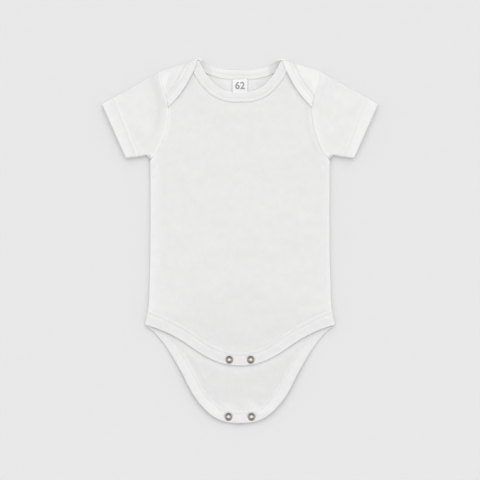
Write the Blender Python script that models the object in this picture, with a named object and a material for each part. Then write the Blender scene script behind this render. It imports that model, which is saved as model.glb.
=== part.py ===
"""A baby's onesie, laid flat with its front up: short sleeves, lap shoulders, bound neck and leg edges,
a neck label, and two pairs of snaps at the crotch.

Metres, +Z up. The cloth lies on z = 0 with its neck towards +Y. X = 0 is its mirror plane, and +X is the
wearer's left. The sizes below are in millimetres, and the outlines hold the half with X >= 0.
"""

import math

import bmesh
import bpy
import numpy as np
from mathutils import Vector
from mathutils.geometry import delaunay_2d_cdt

MM = 0.001

# Thicknesses. At the shoulder four layers lie on each other: back, front's lap, front, back's lap.
CLOTH = 1.0
BAND = 1.4  # a binding is cloth folded round the edge of a panel
GAP = 0.3
SLOT = BAND + GAP
STACK = 4 * SLOT - GAP
AXIS_Z = STACK / 2  # the laps turn over about a line at this height

# The shoulder's silhouette: the fold's neck end and its sleeve end, (x, y)
NECK_TIP = np.array((44.5, 211.4))
SHOULDER_TIP = np.array((92.0, 196.3))

# Edges of the garment as it lies, rows of (x, y)
BACK_NECK = ((0, 198.3), (12, 198.4), (24.3, 200.2), (33, 203.2), (40.6, 207.2))
FRONT_NECK = ((0, 172.6), (15, 173.6), (23, 176.8), (29.9, 182.1), (36, 189), (42.2, 198.2), (46.2, 206.2))
LAP_EDGE = ((52.6, 198.1), (57.5, 188.2), (65.2, 175.2), (72.8, 165.2), (82.2, 154.6))
ARMHOLE = ((103.3, 94), (94.6, 104.2), (88.4, 118.2), (84.9, 130.5), (82.8, 142), (82.2, 154.6))
LAP_ARMHOLE = ((82.2, 154.6), (84.5, 165), (87.8, 176), (90.4, 186), (91.1, 193.2))
SIDE = ((109.3, -94.9), (106, -79.4), (103.9, -41.4), (103, 17.3), (103.3, 94))
FRONT_LEG = ((0, -142.2), (9.6, -141.6), (19.2, -139.8), (28.8, -136.5), (38.3, -132), (47.9, -126.3),
             (57.5, -119.7), (67, -113.2), (86.3, -103.1), (97, -98.7), (109.3, -94.9))
BACK_LEG = ((0, -208.3), (11.5, -207.8), (21.1, -205.7), (30.7, -200.7), (40.3, -192.7), (53.7, -175.8),
            (67.2, -150.1), (81.5, -126.1), (88.2, -116.4), (95.8, -107.1), (109.3, -94.9))

# Widths of the bindings, from the edge that they bind to their seam
NECK_BAND = {"front": 11.8, "back": 11.0}
LEG_BAND = {"front": 15.0, "back": 13.8}
LEG_FLARE = 1.5  # how much wider the leg bindings are at the side seams
FLARE_SPAN = (80.0, 108.0)  # |x| where they start and stop widening

# Sleeve: its hem edge and the line where the turned hem ends, from the top fold to the underarm, (x, y)
HEM_EDGE = ((158.7, 158.5), (131, 96.4))
HEM_TOP = ((144.9, 166.4), (118.2, 97.7))
UNDERARM = ((103.3, 94), (107.9, 98.4), (118.2, 97.7))
HEM_WALL = 1.6
# Shares of the way from the fold to the underarm, along the armhole seam
LAP_SPAN = (0.33, 0.6)  # the sleeve's top comes down from the back's lap to the front
UNDERARM_SPAN = (0.5, 1.0)  # and from there to the underarm

# How the front rides over the back: its underside rises from the side seams to the middle
CROWN = 1.7
CROWN_REACH = 40.0
CORNER_FROM = (50.0, 55.0)  # |x| and -y where the front starts to rise over the back's leg binding
CORNER_REACH = 20.0
SHOULDER_RISE = (80.0, 45.0)  # distances from the fold where the front starts and ends rising to its slot

# Snaps: centres, (x, y), and sizes. Each has a ring on top, and a socket or a stud under the cloth.
SNAPS = {"front": (12.3, -135.4), "back": (13.2, -201.0)}
RING_R = 4.6
RING_HOLE_R = 1.9
RING_HEIGHT = 1.2
RING_SIDE = 0.4  # share of its height where the ring's round top starts
LOWER_HEIGHT = 1.6  # of a socket or a stud
DISC_LOW = 0.9  # underside of the disc that the socket's rim and the stud's nub stand on
RIM_R = 3.3
MOUTH_TOP = 0.8
NUB_R = 2.1  # at its bulge; the mouth of the socket is as wide
NUB_TIP_R = 1.8
NUB_NECK_R = 1.9
NUB_BULGE = 0.3
SNAP_FLAT = 5.8  # the cloth is level this far round a snap's centre
SNAP_REACH = 18.0

LABEL_WIDTH = 18.0
LABEL_LENGTH = 27.0

# Mesh spacing
EDGE_STEP = 5.5
GRID = 19.0
GRID_COLUMNS = (-6, 6)
GRID_ROWS = (-11, 13)
LEAST_SPACE = 1.5  # between a ring's point and a seam
BEND_STEPS = {"front": 4, "back": 6}
FOLD_ENDS = (12.0, 60.0)  # how far the fold's lines reach from the neck tip, inwards and outwards
SNAP_STEPS = (8, 10)  # points round a snap, where the cloth stops being level and half way down
SLEEVE_RINGS = 8
HEM_RINGS = 2
ACROSS_SLEEVE = 16
SHARES = 40  # points of a line across the sleeve
EDGE_TURNS = (math.pi / 6, math.pi / 3)  # corners of the round edge, besides its tip and its flat ends
TURNED_STEPS = 20
ROUND_STEPS = 6


def clear_scene():
    for old in list(bpy.data.objects):
        bpy.data.objects.remove(old)


def material(name, colour, roughness, metallic=0.0):
    made = bpy.data.materials.new(name)
    made.use_nodes = True
    shader = made.node_tree.nodes["Principled BSDF"]
    shader.inputs["Base Color"].default_value = (*colour, 1.0)
    shader.inputs["Roughness"].default_value = roughness
    shader.inputs["Metallic"].default_value = metallic
    return made


def add_object(name, mesh, finish):
    made = bpy.data.objects.new(name, mesh)
    made.data.materials.append(finish)
    bpy.context.scene.collection.objects.link(made)
    return made


def mesh_of(name, points, faces):
    """A mesh from points in mm."""
    mesh = bpy.data.meshes.new(name)
    mesh.from_pydata([Vector(p) * MM for p in points], [], faces)
    return mesh


# ---- plane geometry, in mm ----


def ramp(value, start, end):
    """0 before start and 1 past end, with a smooth rise between."""
    t = min(max((value - start) / (end - start), 0.0), 1.0)
    return t * t * (3 - 2 * t)


def smooth(rows, step=EDGE_STEP):
    """A smooth curve through the rows, as points about a step apart."""
    rows = np.array(rows, float)
    at_row = np.r_[0, np.cumsum(np.linalg.norm(np.diff(rows, axis=0), axis=1))]
    slope = np.gradient(rows, at_row, axis=0)
    at = np.linspace(0, at_row[-1], max(2, round(at_row[-1] / step)) + 1)
    k = np.clip(np.searchsorted(at_row, at, side="right") - 1, 0, len(rows) - 2)
    span = (at_row[k + 1] - at_row[k])[:, None]
    t = (at - at_row[k])[:, None] / span
    start = (1 + 2 * t) * (1 - t) ** 2 * rows[k] + t * (1 - t) ** 2 * span * slope[k]
    end = t * t * (3 - 2 * t) * rows[k + 1] + t * t * (t - 1) * span * slope[k + 1]
    return start + end


def mirrored(line):
    """The same line on the other side of X = 0, run the other way."""
    return np.array(line, float)[::-1] * (-1, 1)


def from_left_to_right(rows):
    """Rows that start on X = 0 and run outwards, made into one line across the garment."""
    return np.vstack([mirrored(rows)[:-1], rows])


def moved_left(line, by):
    """The line moved to its left by a distance, or by one for each point."""
    along = np.gradient(line, axis=0)
    along /= np.linalg.norm(along, axis=1)[:, None]
    return line + np.column_stack([-along[:, 1], along[:, 0]]) * np.reshape(by, (-1, 1))


def extended(line, by=14.0):
    """The line with a straight piece added at each end."""
    first, last = line[0] - line[1], line[-1] - line[-2]
    first, last = first / np.linalg.norm(first), last / np.linalg.norm(last)
    return np.vstack([line[0] + first * by, line, line[-1] + last * by])


def distance(point, line):
    """How far a point is from a line."""
    start, run = line[:-1], np.diff(line, axis=0)
    length_2 = np.maximum((run * run).sum(axis=1), 1e-9)  # a line may hold the same point twice
    t = np.clip(((point - start) * run).sum(axis=1) / length_2, 0, 1)
    return np.linalg.norm(start + run * t[:, None] - point, axis=1).min()


def inside(point, outline):
    """Whether a point lies inside a closed outline."""
    a, b = outline, np.roll(outline, -1, axis=0)
    spans = (a[:, 1] > point[1]) != (b[:, 1] > point[1])
    a, b = a[spans], b[spans]
    crossing = a[:, 0] + (point[1] - a[:, 1]) / (b[:, 1] - a[:, 1]) * (b[:, 0] - a[:, 0])
    return (crossing > point[0]).sum() % 2 == 1


# ---- the shoulder fold ----

ALONG_SHOULDER = (SHOULDER_TIP - NECK_TIP) / np.linalg.norm(SHOULDER_TIP - NECK_TIP)
OVER_SHOULDER = np.array((-ALONG_SHOULDER[1], ALONG_SHOULDER[0]))
FOLD_START = NECK_TIP - OVER_SHOULDER * AXIS_Z
# Length of cloth in the half turn, at the middle of the panel's thickness
BEND = {
    "back": math.pi * (AXIS_Z - CLOTH / 2),
    "front": math.pi * (2 * SLOT + CLOTH / 2 - AXIS_Z),
}


def past_fold(x, y):
    """How far a point is past the shoulder's fold line; less than 0 before it."""
    return float((np.array((abs(x), y)) - FOLD_START) @ OVER_SHOULDER)


def unfolded(rows, bend):
    """Rows of a lap as it lies, moved to where they are on the flat cut."""
    return np.array([row + OVER_SHOULDER * (bend - 2 * past_fold(*row)) for row in np.array(rows, float)])


def turned_over(x, y, z, bend):
    """Where a point of the flat cut lies once the lap is turned over the shoulder."""
    past = past_fold(x, y)
    if past <= 0:
        return x, y, z
    turn = math.pi * min(past / bend, 1.0)
    reach = abs(z - AXIS_Z) * math.sin(turn) - max(past - bend, 0.0)
    out, up = OVER_SHOULDER * (reach - past)
    return x + math.copysign(1, x) * out, y + up, AXIS_Z + (z - AXIS_Z) * math.cos(turn)


# ---- heights of the layers ----

FRONT_BORDER = np.vstack([smooth(FRONT_LEG), smooth(SIDE)])


def snap_level(x, y, layer):
    """1 where a layer lies on the metal under its snap, falling to 0 around it."""
    return 1 - ramp(math.dist((abs(x), y), SNAPS[layer]), SNAP_FLAT, SNAP_REACH)


def back_low(x, y):
    """Height of the back's underside: on the floor, but for the two studs at its crotch."""
    return (LOWER_HEIGHT + GAP) * snap_level(x, y, "back")


def front_low(x, y):
    """Height of the front's underside above the floor."""
    x = abs(x)
    seam = CLOTH + GAP
    level = seam + CROWN * ramp(distance((x, y), FRONT_BORDER), 0, CROWN_REACH)
    corner = ramp(x, CORNER_FROM[0], CORNER_FROM[0] + CORNER_REACH)
    corner *= ramp(-y, CORNER_FROM[1], CORNER_FROM[1] + CORNER_REACH)
    level += (BAND - CLOTH) * corner
    shoulder = ramp(past_fold(x, y), -SHOULDER_RISE[0], -SHOULDER_RISE[1])
    level += (2 * SLOT - level) * shoulder
    over_socket = seam + LOWER_HEIGHT + GAP
    return level + max(over_socket - level, 0) * snap_level(x, y, "front")


LOW = {"front": front_low, "back": back_low}


# ---- the two layers of the body, each cut flat into a panel and its bindings ----


def outline_of(layer, neck, leg):
    """The closed flat outline of a layer, run anticlockwise from its right leg corner."""
    lap = unfolded(smooth(LAP_ARMHOLE), BEND[layer])[::-1]
    right = np.vstack([smooth(SIDE), smooth(ARMHOLE), smooth(LAP_ARMHOLE), lap])
    return np.vstack([right, neck, mirrored(right), leg])


def fold_lines(layer):
    """Lines across each lap where the cloth bends as it turns over the shoulder."""
    inwards, outwards = FOLD_ENDS
    lines = []
    for step in range(BEND_STEPS[layer] + 1):
        start = FOLD_START + OVER_SHOULDER * BEND[layer] * step / BEND_STEPS[layer]
        line = np.array([start - ALONG_SHOULDER * inwards, start + ALONG_SHOULDER * outwards])
        lines += [line, mirrored(line)]
    return lines


def shape_points(layer, lines):
    """Points inside a layer that carry its shape: a grid, and rings round the snaps."""
    columns, rows = range(GRID_COLUMNS[0], GRID_COLUMNS[1] + 1), range(GRID_ROWS[0], GRID_ROWS[1] + 1)
    points = [(column * GRID, row * GRID) for column in columns for row in rows]
    x, y = SNAPS[layer]
    near = [(s * x, y) for s in (-1, 1)]
    points = [p for p in points if min(math.dist(p, n) for n in near) > SNAP_REACH]
    points = [p for p in points if min(distance(p, line) for line in lines) > GRID / 4]
    for centre_x, centre_y in near:
        for radius, steps in zip((SNAP_FLAT, (SNAP_FLAT + SNAP_REACH) / 2), SNAP_STEPS):
            for turn in np.arange(steps) * 2 * math.pi / steps:
                point = (centre_x + radius * math.cos(turn), centre_y + radius * math.sin(turn))
                space = min(distance(point, line) for line in lines)
                if min(space, abs(point[0])) > LEAST_SPACE:
                    points.append(point)
    return points


def triangles_of(outline, lines, points):
    """The flat outline cut into triangles along the lines and through the points."""
    corners, edges = [], []
    for line in [np.vstack([outline, outline[:1]]), *lines]:
        first = len(corners)
        corners += [Vector(p) for p in line]
        edges += [(i, i + 1) for i in range(first, len(corners) - 1)]
    corners += [Vector(p) for p in points]
    corners, _, faces, *_ = delaunay_2d_cdt(corners, edges, [], 0, 0.01)
    flat = np.array([tuple(c) for c in corners])
    return flat, [f for f in faces if inside(flat[list(f)].mean(axis=0), outline)]


def sheet(name, flat, faces, low, thickness, bend, finish):
    """A piece of a flat layer as a solid of one thickness, with its laps turned over."""
    used = sorted({i for face in faces for i in face})
    new = {old: i for i, old in enumerate(used)}
    count = len(used)
    points = []
    for lift in (0.0, thickness):
        for x, y in flat[used]:
            points.append(turned_over(x, y, low(x, y) + lift, bend))
    under = [tuple(new[i] for i in reversed(face)) for face in faces]
    over = [tuple(new[i] + count for i in face) for face in faces]
    sides = {(a, b) for face in over for a, b in zip(face, face[1:] + face[:1])}
    walls = [(a - count, b - count, b, a) for a, b in sorted(sides) if (b, a) not in sides]
    add_object(name, mesh_of(name, points, under + over + walls), finish)


def build_layer(layer, neck_rows, leg_rows, jersey, rib):
    """One layer of the body: its panel, its neck binding and its leg binding."""
    bend = BEND[layer]
    lap = unfolded(LAP_EDGE, bend)
    neck = smooth(from_left_to_right(np.vstack([neck_rows, lap])))[::-1]
    leg = smooth(from_left_to_right(leg_rows))
    outline = outline_of(layer, neck, leg)
    flare = LEG_FLARE * np.array([ramp(abs(x), *FLARE_SPAN) for x in leg[:, 0]])
    neck_width, leg_width = NECK_BAND[layer], LEG_BAND[layer] + flare
    bands = {
        "neck_binding": [extended(moved_left(neck, neck_width + gap)) for gap in (0, GAP)],
        "leg_binding": [extended(moved_left(leg, leg_width + gap)) for gap in (0, GAP)],
    }
    edges = {"neck_binding": neck, "leg_binding": leg}
    lines = [seam for pair in bands.values() for seam in pair]
    border = np.vstack([outline, outline[:1]])
    flat, faces = triangles_of(outline, lines + fold_lines(layer), shape_points(layer, lines + [border]))
    middle = {face: flat[list(face)].mean(axis=0) for face in map(tuple, faces)}
    rest = list(middle)
    for band, (seam, panel_edge) in bands.items():
        outer = extended(moved_left(edges[band], -GAP))
        within = [np.vstack([outer, line[::-1]]) for line in (seam, panel_edge)]
        chosen = [face for face in rest if inside(middle[face], within[0])]
        rest = [face for face in rest if not inside(middle[face], within[1])]
        sheet(f"{band}_{layer}", flat, chosen, LOW[layer], BAND, bend, rib)
    sheet(f"{layer}_panel", flat, rest, LOW[layer], CLOTH, bend, jersey)


# ---- sleeves ----


def along(line, share):
    """The point at a share of a line's length."""
    at = np.r_[0, np.cumsum(np.linalg.norm(np.diff(line, axis=0), axis=1))]
    return np.array([np.interp(share * at[-1], at, line[:, i]) for i in (0, 1)])


def straight(start, end):
    return np.array((start, end), float)


def sleeve_lines():
    """Lines across the sleeve, from its seam at the armhole to its hem edge, each top to underarm."""
    arm = np.vstack([smooth(ARMHOLE), smooth(LAP_ARMHOLE)[1:], [SHOULDER_TIP]])[::-1]
    seam = moved_left(arm, GAP)
    seam[0] = SHOULDER_TIP + ALONG_SHOULDER * GAP
    under = smooth(UNDERARM)
    under[0] = seam[-1]
    top, hem_top = straight(seam[0], HEM_TOP[0]), straight(*HEM_TOP)
    lines = []
    for r in np.linspace(0, 1, SLEEVE_RINGS + 1):
        line = []
        for q in np.linspace(0, 1, SHARES):
            across = (1 - r) * along(seam, q) + r * along(hem_top, q)
            outwards = (1 - q) * along(top, r) + q * along(under, r)
            start, end = (1 - r) * seam[0] + r * hem_top[0], (1 - r) * seam[-1] + r * hem_top[1]
            line.append(across + outwards - (1 - q) * start - q * end)
        lines.append(np.array(line))
    for r in np.linspace(0, 1, HEM_RINGS + 1)[1:]:
        ends = [(1 - r) * np.array(HEM_TOP[i]) + r * np.array(HEM_EDGE[i]) for i in (0, 1)]
        lines.append(straight(*ends))
    return lines


def sleeve_height(r, q):
    """Height of the sleeve's top at a share r of the way to its hem, and q from its fold to its underarm."""
    front_top = 2 * SLOT + CLOTH
    underarm = 2 * CLOTH + 2 * GAP
    at_seam = underarm + (front_top - underarm) * (1 - ramp(q, *UNDERARM_SPAN))
    at_seam += (STACK - front_top) * (1 - ramp(q, *LAP_SPAN))
    at_hem = 2 * HEM_WALL + GAP
    return at_seam + (at_hem - at_seam) * ramp(r, 0, 1)


def loop_of(line, r, inset):
    """A closed loop round the flattened sleeve at one line, inset from its outside."""
    length = np.linalg.norm(np.diff(line, axis=0), axis=1).sum()
    ends = [sleeve_height(r, q) / 2 - inset for q in (0, 1)]
    rows = [(inset + ends[0] * (1 - math.cos(a)), math.sin(a)) for a in (0, *EDGE_TURNS)]
    flat = np.linspace(inset + ends[0], length - inset - ends[1], ACROSS_SLEEVE)
    rows += [(a, 1.0) for a in flat]
    rows += [(length - inset - ends[1] * (1 - math.cos(a)), math.sin(a)) for a in (*EDGE_TURNS[::-1], 0)]
    under, over = [], []
    for across, swell in rows:
        x, y = along(line, across / length)
        half = sleeve_height(r, across / length) / 2
        under.append((x, y, half - (half - inset) * swell))
        over.append((x, y, half + (half - inset) * swell))
    return under + over[-2:0:-1]


def build_sleeve(name, side, finish):
    """A flattened tube, open at the armhole and at the hem, whose wall is doubled at the hem."""
    lines = sleeve_lines()
    points = []
    for inset in (0, 1):
        for i, line in enumerate(lines):
            r = i / (len(lines) - 1)
            wall = HEM_WALL if i >= SLEEVE_RINGS else CLOTH
            points += loop_of(line, r, inset * wall)
    count = len(points) // (2 * len(lines))
    faces = []
    inner = len(lines) * count
    for k in range(count):
        n = (k + 1) % count
        for ring in range(len(lines) - 1):
            a, b = ring * count, (ring + 1) * count
            faces.append((a + k, a + n, b + n, b + k))
            faces.append((inner + a + n, inner + a + k, inner + b + k, inner + b + n))
        last = (len(lines) - 1) * count
        faces.append((k, inner + k, inner + n, n))
        faces.append((last + n, inner + last + n, inner + last + k, last + k))
    mesh = mesh_of(name, [(side * x, y, z) for x, y, z in points], faces)
    work = bmesh.new()
    work.from_mesh(mesh)
    bmesh.ops.recalc_face_normals(work, faces=work.faces)
    work.to_mesh(mesh)
    work.free()
    add_object(name, mesh, finish)


# ---- label and snaps ----


def build_label(finish):
    """The label hangs from the seam of the back's neck binding, between the back and the front."""
    top = BACK_NECK[0][1] - NECK_BAND["back"] - GAP
    x, low = LABEL_WIDTH / 2, CLOTH + GAP
    flat = np.array(((-x, top - LABEL_LENGTH), (x, top - LABEL_LENGTH), (x, top), (-x, top)))
    sheet("neck_label", flat, [(0, 1, 2, 3)], lambda *_: low, CLOTH, BEND["back"], finish)


def turned(name, profile, at, finish):
    """A profile of (radius, height) rows turned about a vertical line; it closes on itself."""
    work = bmesh.new()
    corners = [work.verts.new((r * MM, 0, z * MM)) for r, z in profile]
    edges = [work.edges.new((a, b)) for a, b in zip(corners, corners[1:] + corners[:1])]
    bmesh.ops.spin(work, geom=corners + edges, cent=(0, 0, 0), axis=(0, 0, 1), angle=2 * math.pi,
                   steps=TURNED_STEPS, use_merge=True)
    bmesh.ops.remove_doubles(work, verts=work.verts, dist=MM / 100)
    bmesh.ops.recalc_face_normals(work, faces=work.faces)
    mesh = bpy.data.meshes.new(name)
    work.to_mesh(mesh)
    work.free()
    mesh.shade_smooth()
    mesh.set_sharp_from_angle(angle=math.radians(40))
    made = add_object(name, mesh, finish)
    made.location = Vector(at) * MM


def ring_profile():
    """An open ring with a round top, flat where it presses on the cloth."""
    middle, half = (RING_R + RING_HOLE_R) / 2, (RING_R - RING_HOLE_R) / 2
    rows = [(RING_HOLE_R, 0), (RING_R, 0)]
    for turn in np.linspace(0, math.pi, ROUND_STEPS):
        height = RING_HEIGHT * (RING_SIDE + (1 - RING_SIDE) * math.sin(turn))
        rows.append((middle + half * math.cos(turn), height))
    return rows


def disc_side():
    """The rest of a socket's or stud's profile: its disc's underside, side and top."""
    return [(RING_R, DISC_LOW), (RING_R, LOWER_HEIGHT), (0, LOWER_HEIGHT)]


def socket_profile():
    """A disc with a rim below it, round the mouth that takes the stud."""
    mouth = [(0, MOUTH_TOP), (NUB_R, MOUTH_TOP), (NUB_R, 0)]
    rim = [(RIM_R, 0), (RIM_R, DISC_LOW)]
    return mouth + rim + disc_side()


def stud_profile():
    """A disc with the nub below it that snaps into a socket."""
    return [(0, 0), (NUB_TIP_R, 0), (NUB_R, NUB_BULGE), (NUB_NECK_R, DISC_LOW)] + disc_side()


def build_snaps(metal):
    """On each side of each tab: a ring above its binding, and a socket or a stud below it."""
    for hand, side in (("left", 1), ("right", -1)):
        for layer in ("front", "back"):
            x, y = SNAPS[layer]
            above = LOW[layer](x, y) + BAND + GAP
            turned(f"snap_ring_{layer}_{hand}", ring_profile(), (side * x, y, above), metal)
        x, y = SNAPS["front"]
        turned(f"snap_socket_{hand}", socket_profile(), (side * x, y, CLOTH + GAP), metal)
        x, y = SNAPS["back"]
        turned(f"snap_stud_{hand}", stud_profile(), (side * x, y, 0), metal)


def centre_on_origin():
    """Slides the garment along Y until the middle of its box is on the origin."""
    bpy.context.view_layer.update()
    ends = [(o.matrix_world @ v.co).y for o in bpy.data.objects for v in o.data.vertices]
    for made in bpy.data.objects:
        made.location.y -= (max(ends) + min(ends)) / 2


def main():
    clear_scene()
    jersey = material("white_jersey", (0.81, 0.81, 0.80), 0.9)
    rib = material("white_rib", (0.83, 0.83, 0.82), 0.9)
    satin = material("white_satin", (0.86, 0.86, 0.86), 0.6)
    nickel = material("nickel", (0.60, 0.59, 0.57), 0.3, metallic=1.0)
    build_layer("front", FRONT_NECK, FRONT_LEG, jersey, rib)
    build_layer("back", BACK_NECK, BACK_LEG, jersey, rib)
    build_sleeve("sleeve_left", 1, jersey)
    build_sleeve("sleeve_right", -1, jersey)
    build_label(satin)
    build_snaps(nickel)
    centre_on_origin()


main()
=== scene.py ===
"""Looks of a baby's onesie laid flat: its knit cloth, bindings, seams, creases, stitches, label and snaps.

The cloth is cut flat, pressed into relief, and its laps are turned over the shoulders, on the CAD model's
outlines. Sizes are in millimetres until a mesh is made. Outlines hold the half with X >= 0, and +Y is
towards the neck. Spans given to ramp, fall and hump are distances in millimetres where nothing else is said.
"""

import math

import bmesh
import bpy
import numpy as np
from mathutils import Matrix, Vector
from mathutils.geometry import delaunay_2d_cdt
from mathutils.kdtree import KDTree


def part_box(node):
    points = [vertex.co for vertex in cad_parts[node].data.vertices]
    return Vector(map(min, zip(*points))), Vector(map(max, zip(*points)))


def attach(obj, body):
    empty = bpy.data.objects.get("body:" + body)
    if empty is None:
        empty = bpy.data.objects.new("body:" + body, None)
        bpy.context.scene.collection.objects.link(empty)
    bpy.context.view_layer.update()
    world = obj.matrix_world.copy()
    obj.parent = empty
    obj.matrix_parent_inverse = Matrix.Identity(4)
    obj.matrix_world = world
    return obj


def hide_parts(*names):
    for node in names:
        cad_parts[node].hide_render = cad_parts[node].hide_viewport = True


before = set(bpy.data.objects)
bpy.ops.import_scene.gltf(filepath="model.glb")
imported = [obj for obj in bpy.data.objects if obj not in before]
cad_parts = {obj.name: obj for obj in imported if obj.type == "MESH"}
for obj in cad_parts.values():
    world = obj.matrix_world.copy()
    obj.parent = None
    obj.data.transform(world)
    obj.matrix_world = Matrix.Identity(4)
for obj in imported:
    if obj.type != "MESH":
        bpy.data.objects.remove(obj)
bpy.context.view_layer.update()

MM = 0.001

# ---- the garment's sizes ----

# The CAD model's, but for UNDERARM, LAP_SPAN, LIP_R and the front's SNAP_SPAN, which are finer here

CLOTH = 1.0
BAND = 1.4
GAP = 0.3
SLOT = BAND + GAP
STACK = 4 * SLOT - GAP
AXIS_Z = STACK / 2  # the laps turn over about a line at this height

NECK_TIP = np.array((44.5, 211.4))
SHOULDER_TIP = np.array((92.0, 196.3))

# Edges of the garment as it lies, rows of (x, y)
BACK_NECK = ((0, 198.3), (12, 198.4), (24.3, 200.2), (33, 203.2), (40.6, 207.2))
FRONT_NECK = ((0, 172.6), (15, 173.6), (23, 176.8), (29.9, 182.1), (36, 189), (42.2, 198.2), (46.2, 206.2))
LAP_EDGE = ((52.6, 198.1), (57.5, 188.2), (65.2, 175.2), (72.8, 165.2), (82.2, 154.6))
ARMHOLE = ((103.3, 94), (94.6, 104.2), (88.4, 118.2), (84.9, 130.5), (82.8, 142), (82.2, 154.6))
LAP_ARMHOLE = ((82.2, 154.6), (84.5, 165), (87.8, 176), (90.4, 186), (91.1, 193.2))
SIDE = ((109.3, -94.9), (106, -79.4), (103.9, -41.4), (103, 17.3), (103.3, 94))
FRONT_LEG = ((0, -142.2), (9.6, -141.6), (19.2, -139.8), (28.8, -136.5), (38.3, -132), (47.9, -126.3),
             (57.5, -119.7), (67, -113.2), (86.3, -103.1), (97, -98.7), (109.3, -94.9))
BACK_LEG = ((0, -208.3), (11.5, -207.8), (21.1, -205.7), (30.7, -200.7), (40.3, -192.7), (53.7, -175.8),
            (67.2, -150.1), (81.5, -126.1), (88.2, -116.4), (95.8, -107.1), (109.3, -94.9))
NECK_BAND = {"front": 11.8, "back": 11.0}
LEG_BAND = {"front": 15.0, "back": 13.8}
LEG_FLARE = 1.5  # how much wider the leg bindings are at the side seams
FLARE_SPAN = (80.0, 108.0)  # |x| where they start and stop widening

# Sleeve: its hem edge and the line where the turned hem ends, from the top fold to the underarm
HEM_EDGE = np.array(((158.7, 158.5), (131, 96.4)))
HEM_TOP = np.array(((144.9, 166.4), (118.2, 97.7)))
UNDERARM = ((103.3, 94), (105.4, 97), (107.4, 99.9), (109, 99.6), (112, 98.8), (118.2, 97.7))
HEM_WALL = 1.6
LAP_SPAN = (0.30, 0.42)  # share of the armhole over which the sleeve's top comes down from the back's lap

# How the front rides over the back
CROWN = 1.7
CROWN_REACH = 40.0
CORNER_FROM = (50.0, 55.0)  # |x| and -y where the front starts to rise over the back's leg binding
CORNER_REACH = 20.0
SHOULDER_RISE = (80.0, 45.0)  # distances before the fold where the front starts and ends rising to its slot

SNAPS = {"front": (12.3, -135.4), "back": (13.2, -201.0)}
RING_R = 4.6
RING_HOLE_R = 1.9
LIP_R = 1.7  # of the rolled lip in the hole
STUD_HEIGHT = 1.6
SNAP_SPAN = {"front": (4.4, 9.5), "back": (5.8, 18.0)}  # where the cloth stops being level round a snap

LABEL_WIDTH = 18.0
LABEL_LENGTH = 27.0

# How far the CAD model was slid along Y to centre it
SLIDE_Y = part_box("leg_binding_back")[0].y / MM - BACK_LEG[0][1]

# ---- sizes of the cloth's relief ----

WALL = 0.9  # of a panel
TUCK = 0.7  # how far a panel reaches into its binding
SLEEVE_TUCK = 0.12
SIDE_LOFT = 1.9  # how much the front rises behind its round side edge
SIDE_ROLL = 2.6  # distance from the side over which it turns round
SIDE_CURL = 0.4  # how far the back's side edge is off the floor
LEG_CURL = 2.9  # how far the back's leg edge is off the floor
NECK_CURL = 1.1
CURL_REACH = {"neck": 10.0, "leg": 13.0}
TAB_DIP = 0.2  # how far the front tab sinks towards its leg edge
LAP_DROP = 0.5  # how far the back's laps sink onto the front
ARM_ALLOWANCE = 6.0  # the seam's turnings lift the cloth beside it this far
STITCH_ROWS = (1.4, 4.1)  # distances of the two needle rows from a binding's seam
ROW_DEPTHS = (0.20, 0.42)
ROW_WIDTH = 0.42
HEM_STITCH = 1.9  # distance of the sleeve's needle row from the hem's upper end
STITCH_PITCH = 2.5
STITCH_LENGTH = 1.8
THREAD_R = 0.18
PANEL_ROUND = 0.35  # radii of edges
SEAM_ROUND = 0.3
NECK_DIP = 0.25  # how deep a panel dips beside its neck seam
EDGE_ROUND = 1.1  # of a free edge
FRONT_LEG_ROUND = 0.8
BAND_SWELL = (0.22, 0.14)  # of a binding past its seam, and again past its needle rows
BAND_UNEVEN = 0.10
INSIDE_DEPTH = 0.5  # how deep the needle rows are inside the neck, against those outside
LEG_EDGE_DROP = 0.6  # how far the front's leg binding slopes down to its edge
HOLE_RISE = 1.65  # how far the cloth comes up in a ring's hole
RING_HOLE_PAINTED_LIGHT = 1.6  # painted light on the cloth in the hole, whiter than any cloth, and on the next line the painted highlight on the rim of cloth below the ring
RING_EDGE_PAINTED_HIGHLIGHT = 1.4
SOCKET_HEIGHT = 1.0  # the sockets' flanges are pressed into the cloth

# Mesh spacing
STEP = 1.4
GRID = 2.4
ROUND_ROWS = (0.1, 0.28, 0.55, 1.1, 1.9)  # distances from an edge, where it turns round
NEEDLE_ROWS = (-0.8, -0.4, 0, 0.4, 0.8)  # distances from a needle row
BAND_ROW = 0.9  # between the rows of points in a binding
JOIN_WITHIN = 2e-5  # metres
NEAR_EDGES = 4  # border edges that a point's distance is taken to
BEND_STEPS = {"front": 6, "back": 12}
FOLD_ENDS = (12.0, 60.0)  # how far the fold's lines reach from the neck tip, inwards and outwards
DOME_RINGS = (  # radius round a snap, and how many points
    (0.6, 6), (1.2, 10), (1.7, 14), (2.3, 18), (3.2, 20), (4.6, 24), (5.4, 26), (6.4, 30)
)


# ---- plane geometry ----


def ramp(value, start, end):
    """0 before start and 1 past end, with a smooth rise between."""
    t = np.clip((value - start) / (end - start), 0, 1)
    return t * t * (3 - 2 * t)


def fall(value, start, end):
    """1 before start and 0 past end, with a smooth fall between."""
    return 1 - ramp(value, start, end)


def hump(value, middle, width):
    """1 at the middle, falling to about a third at a width from it."""
    return np.exp(-(((value - middle) / width) ** 2))


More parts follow.
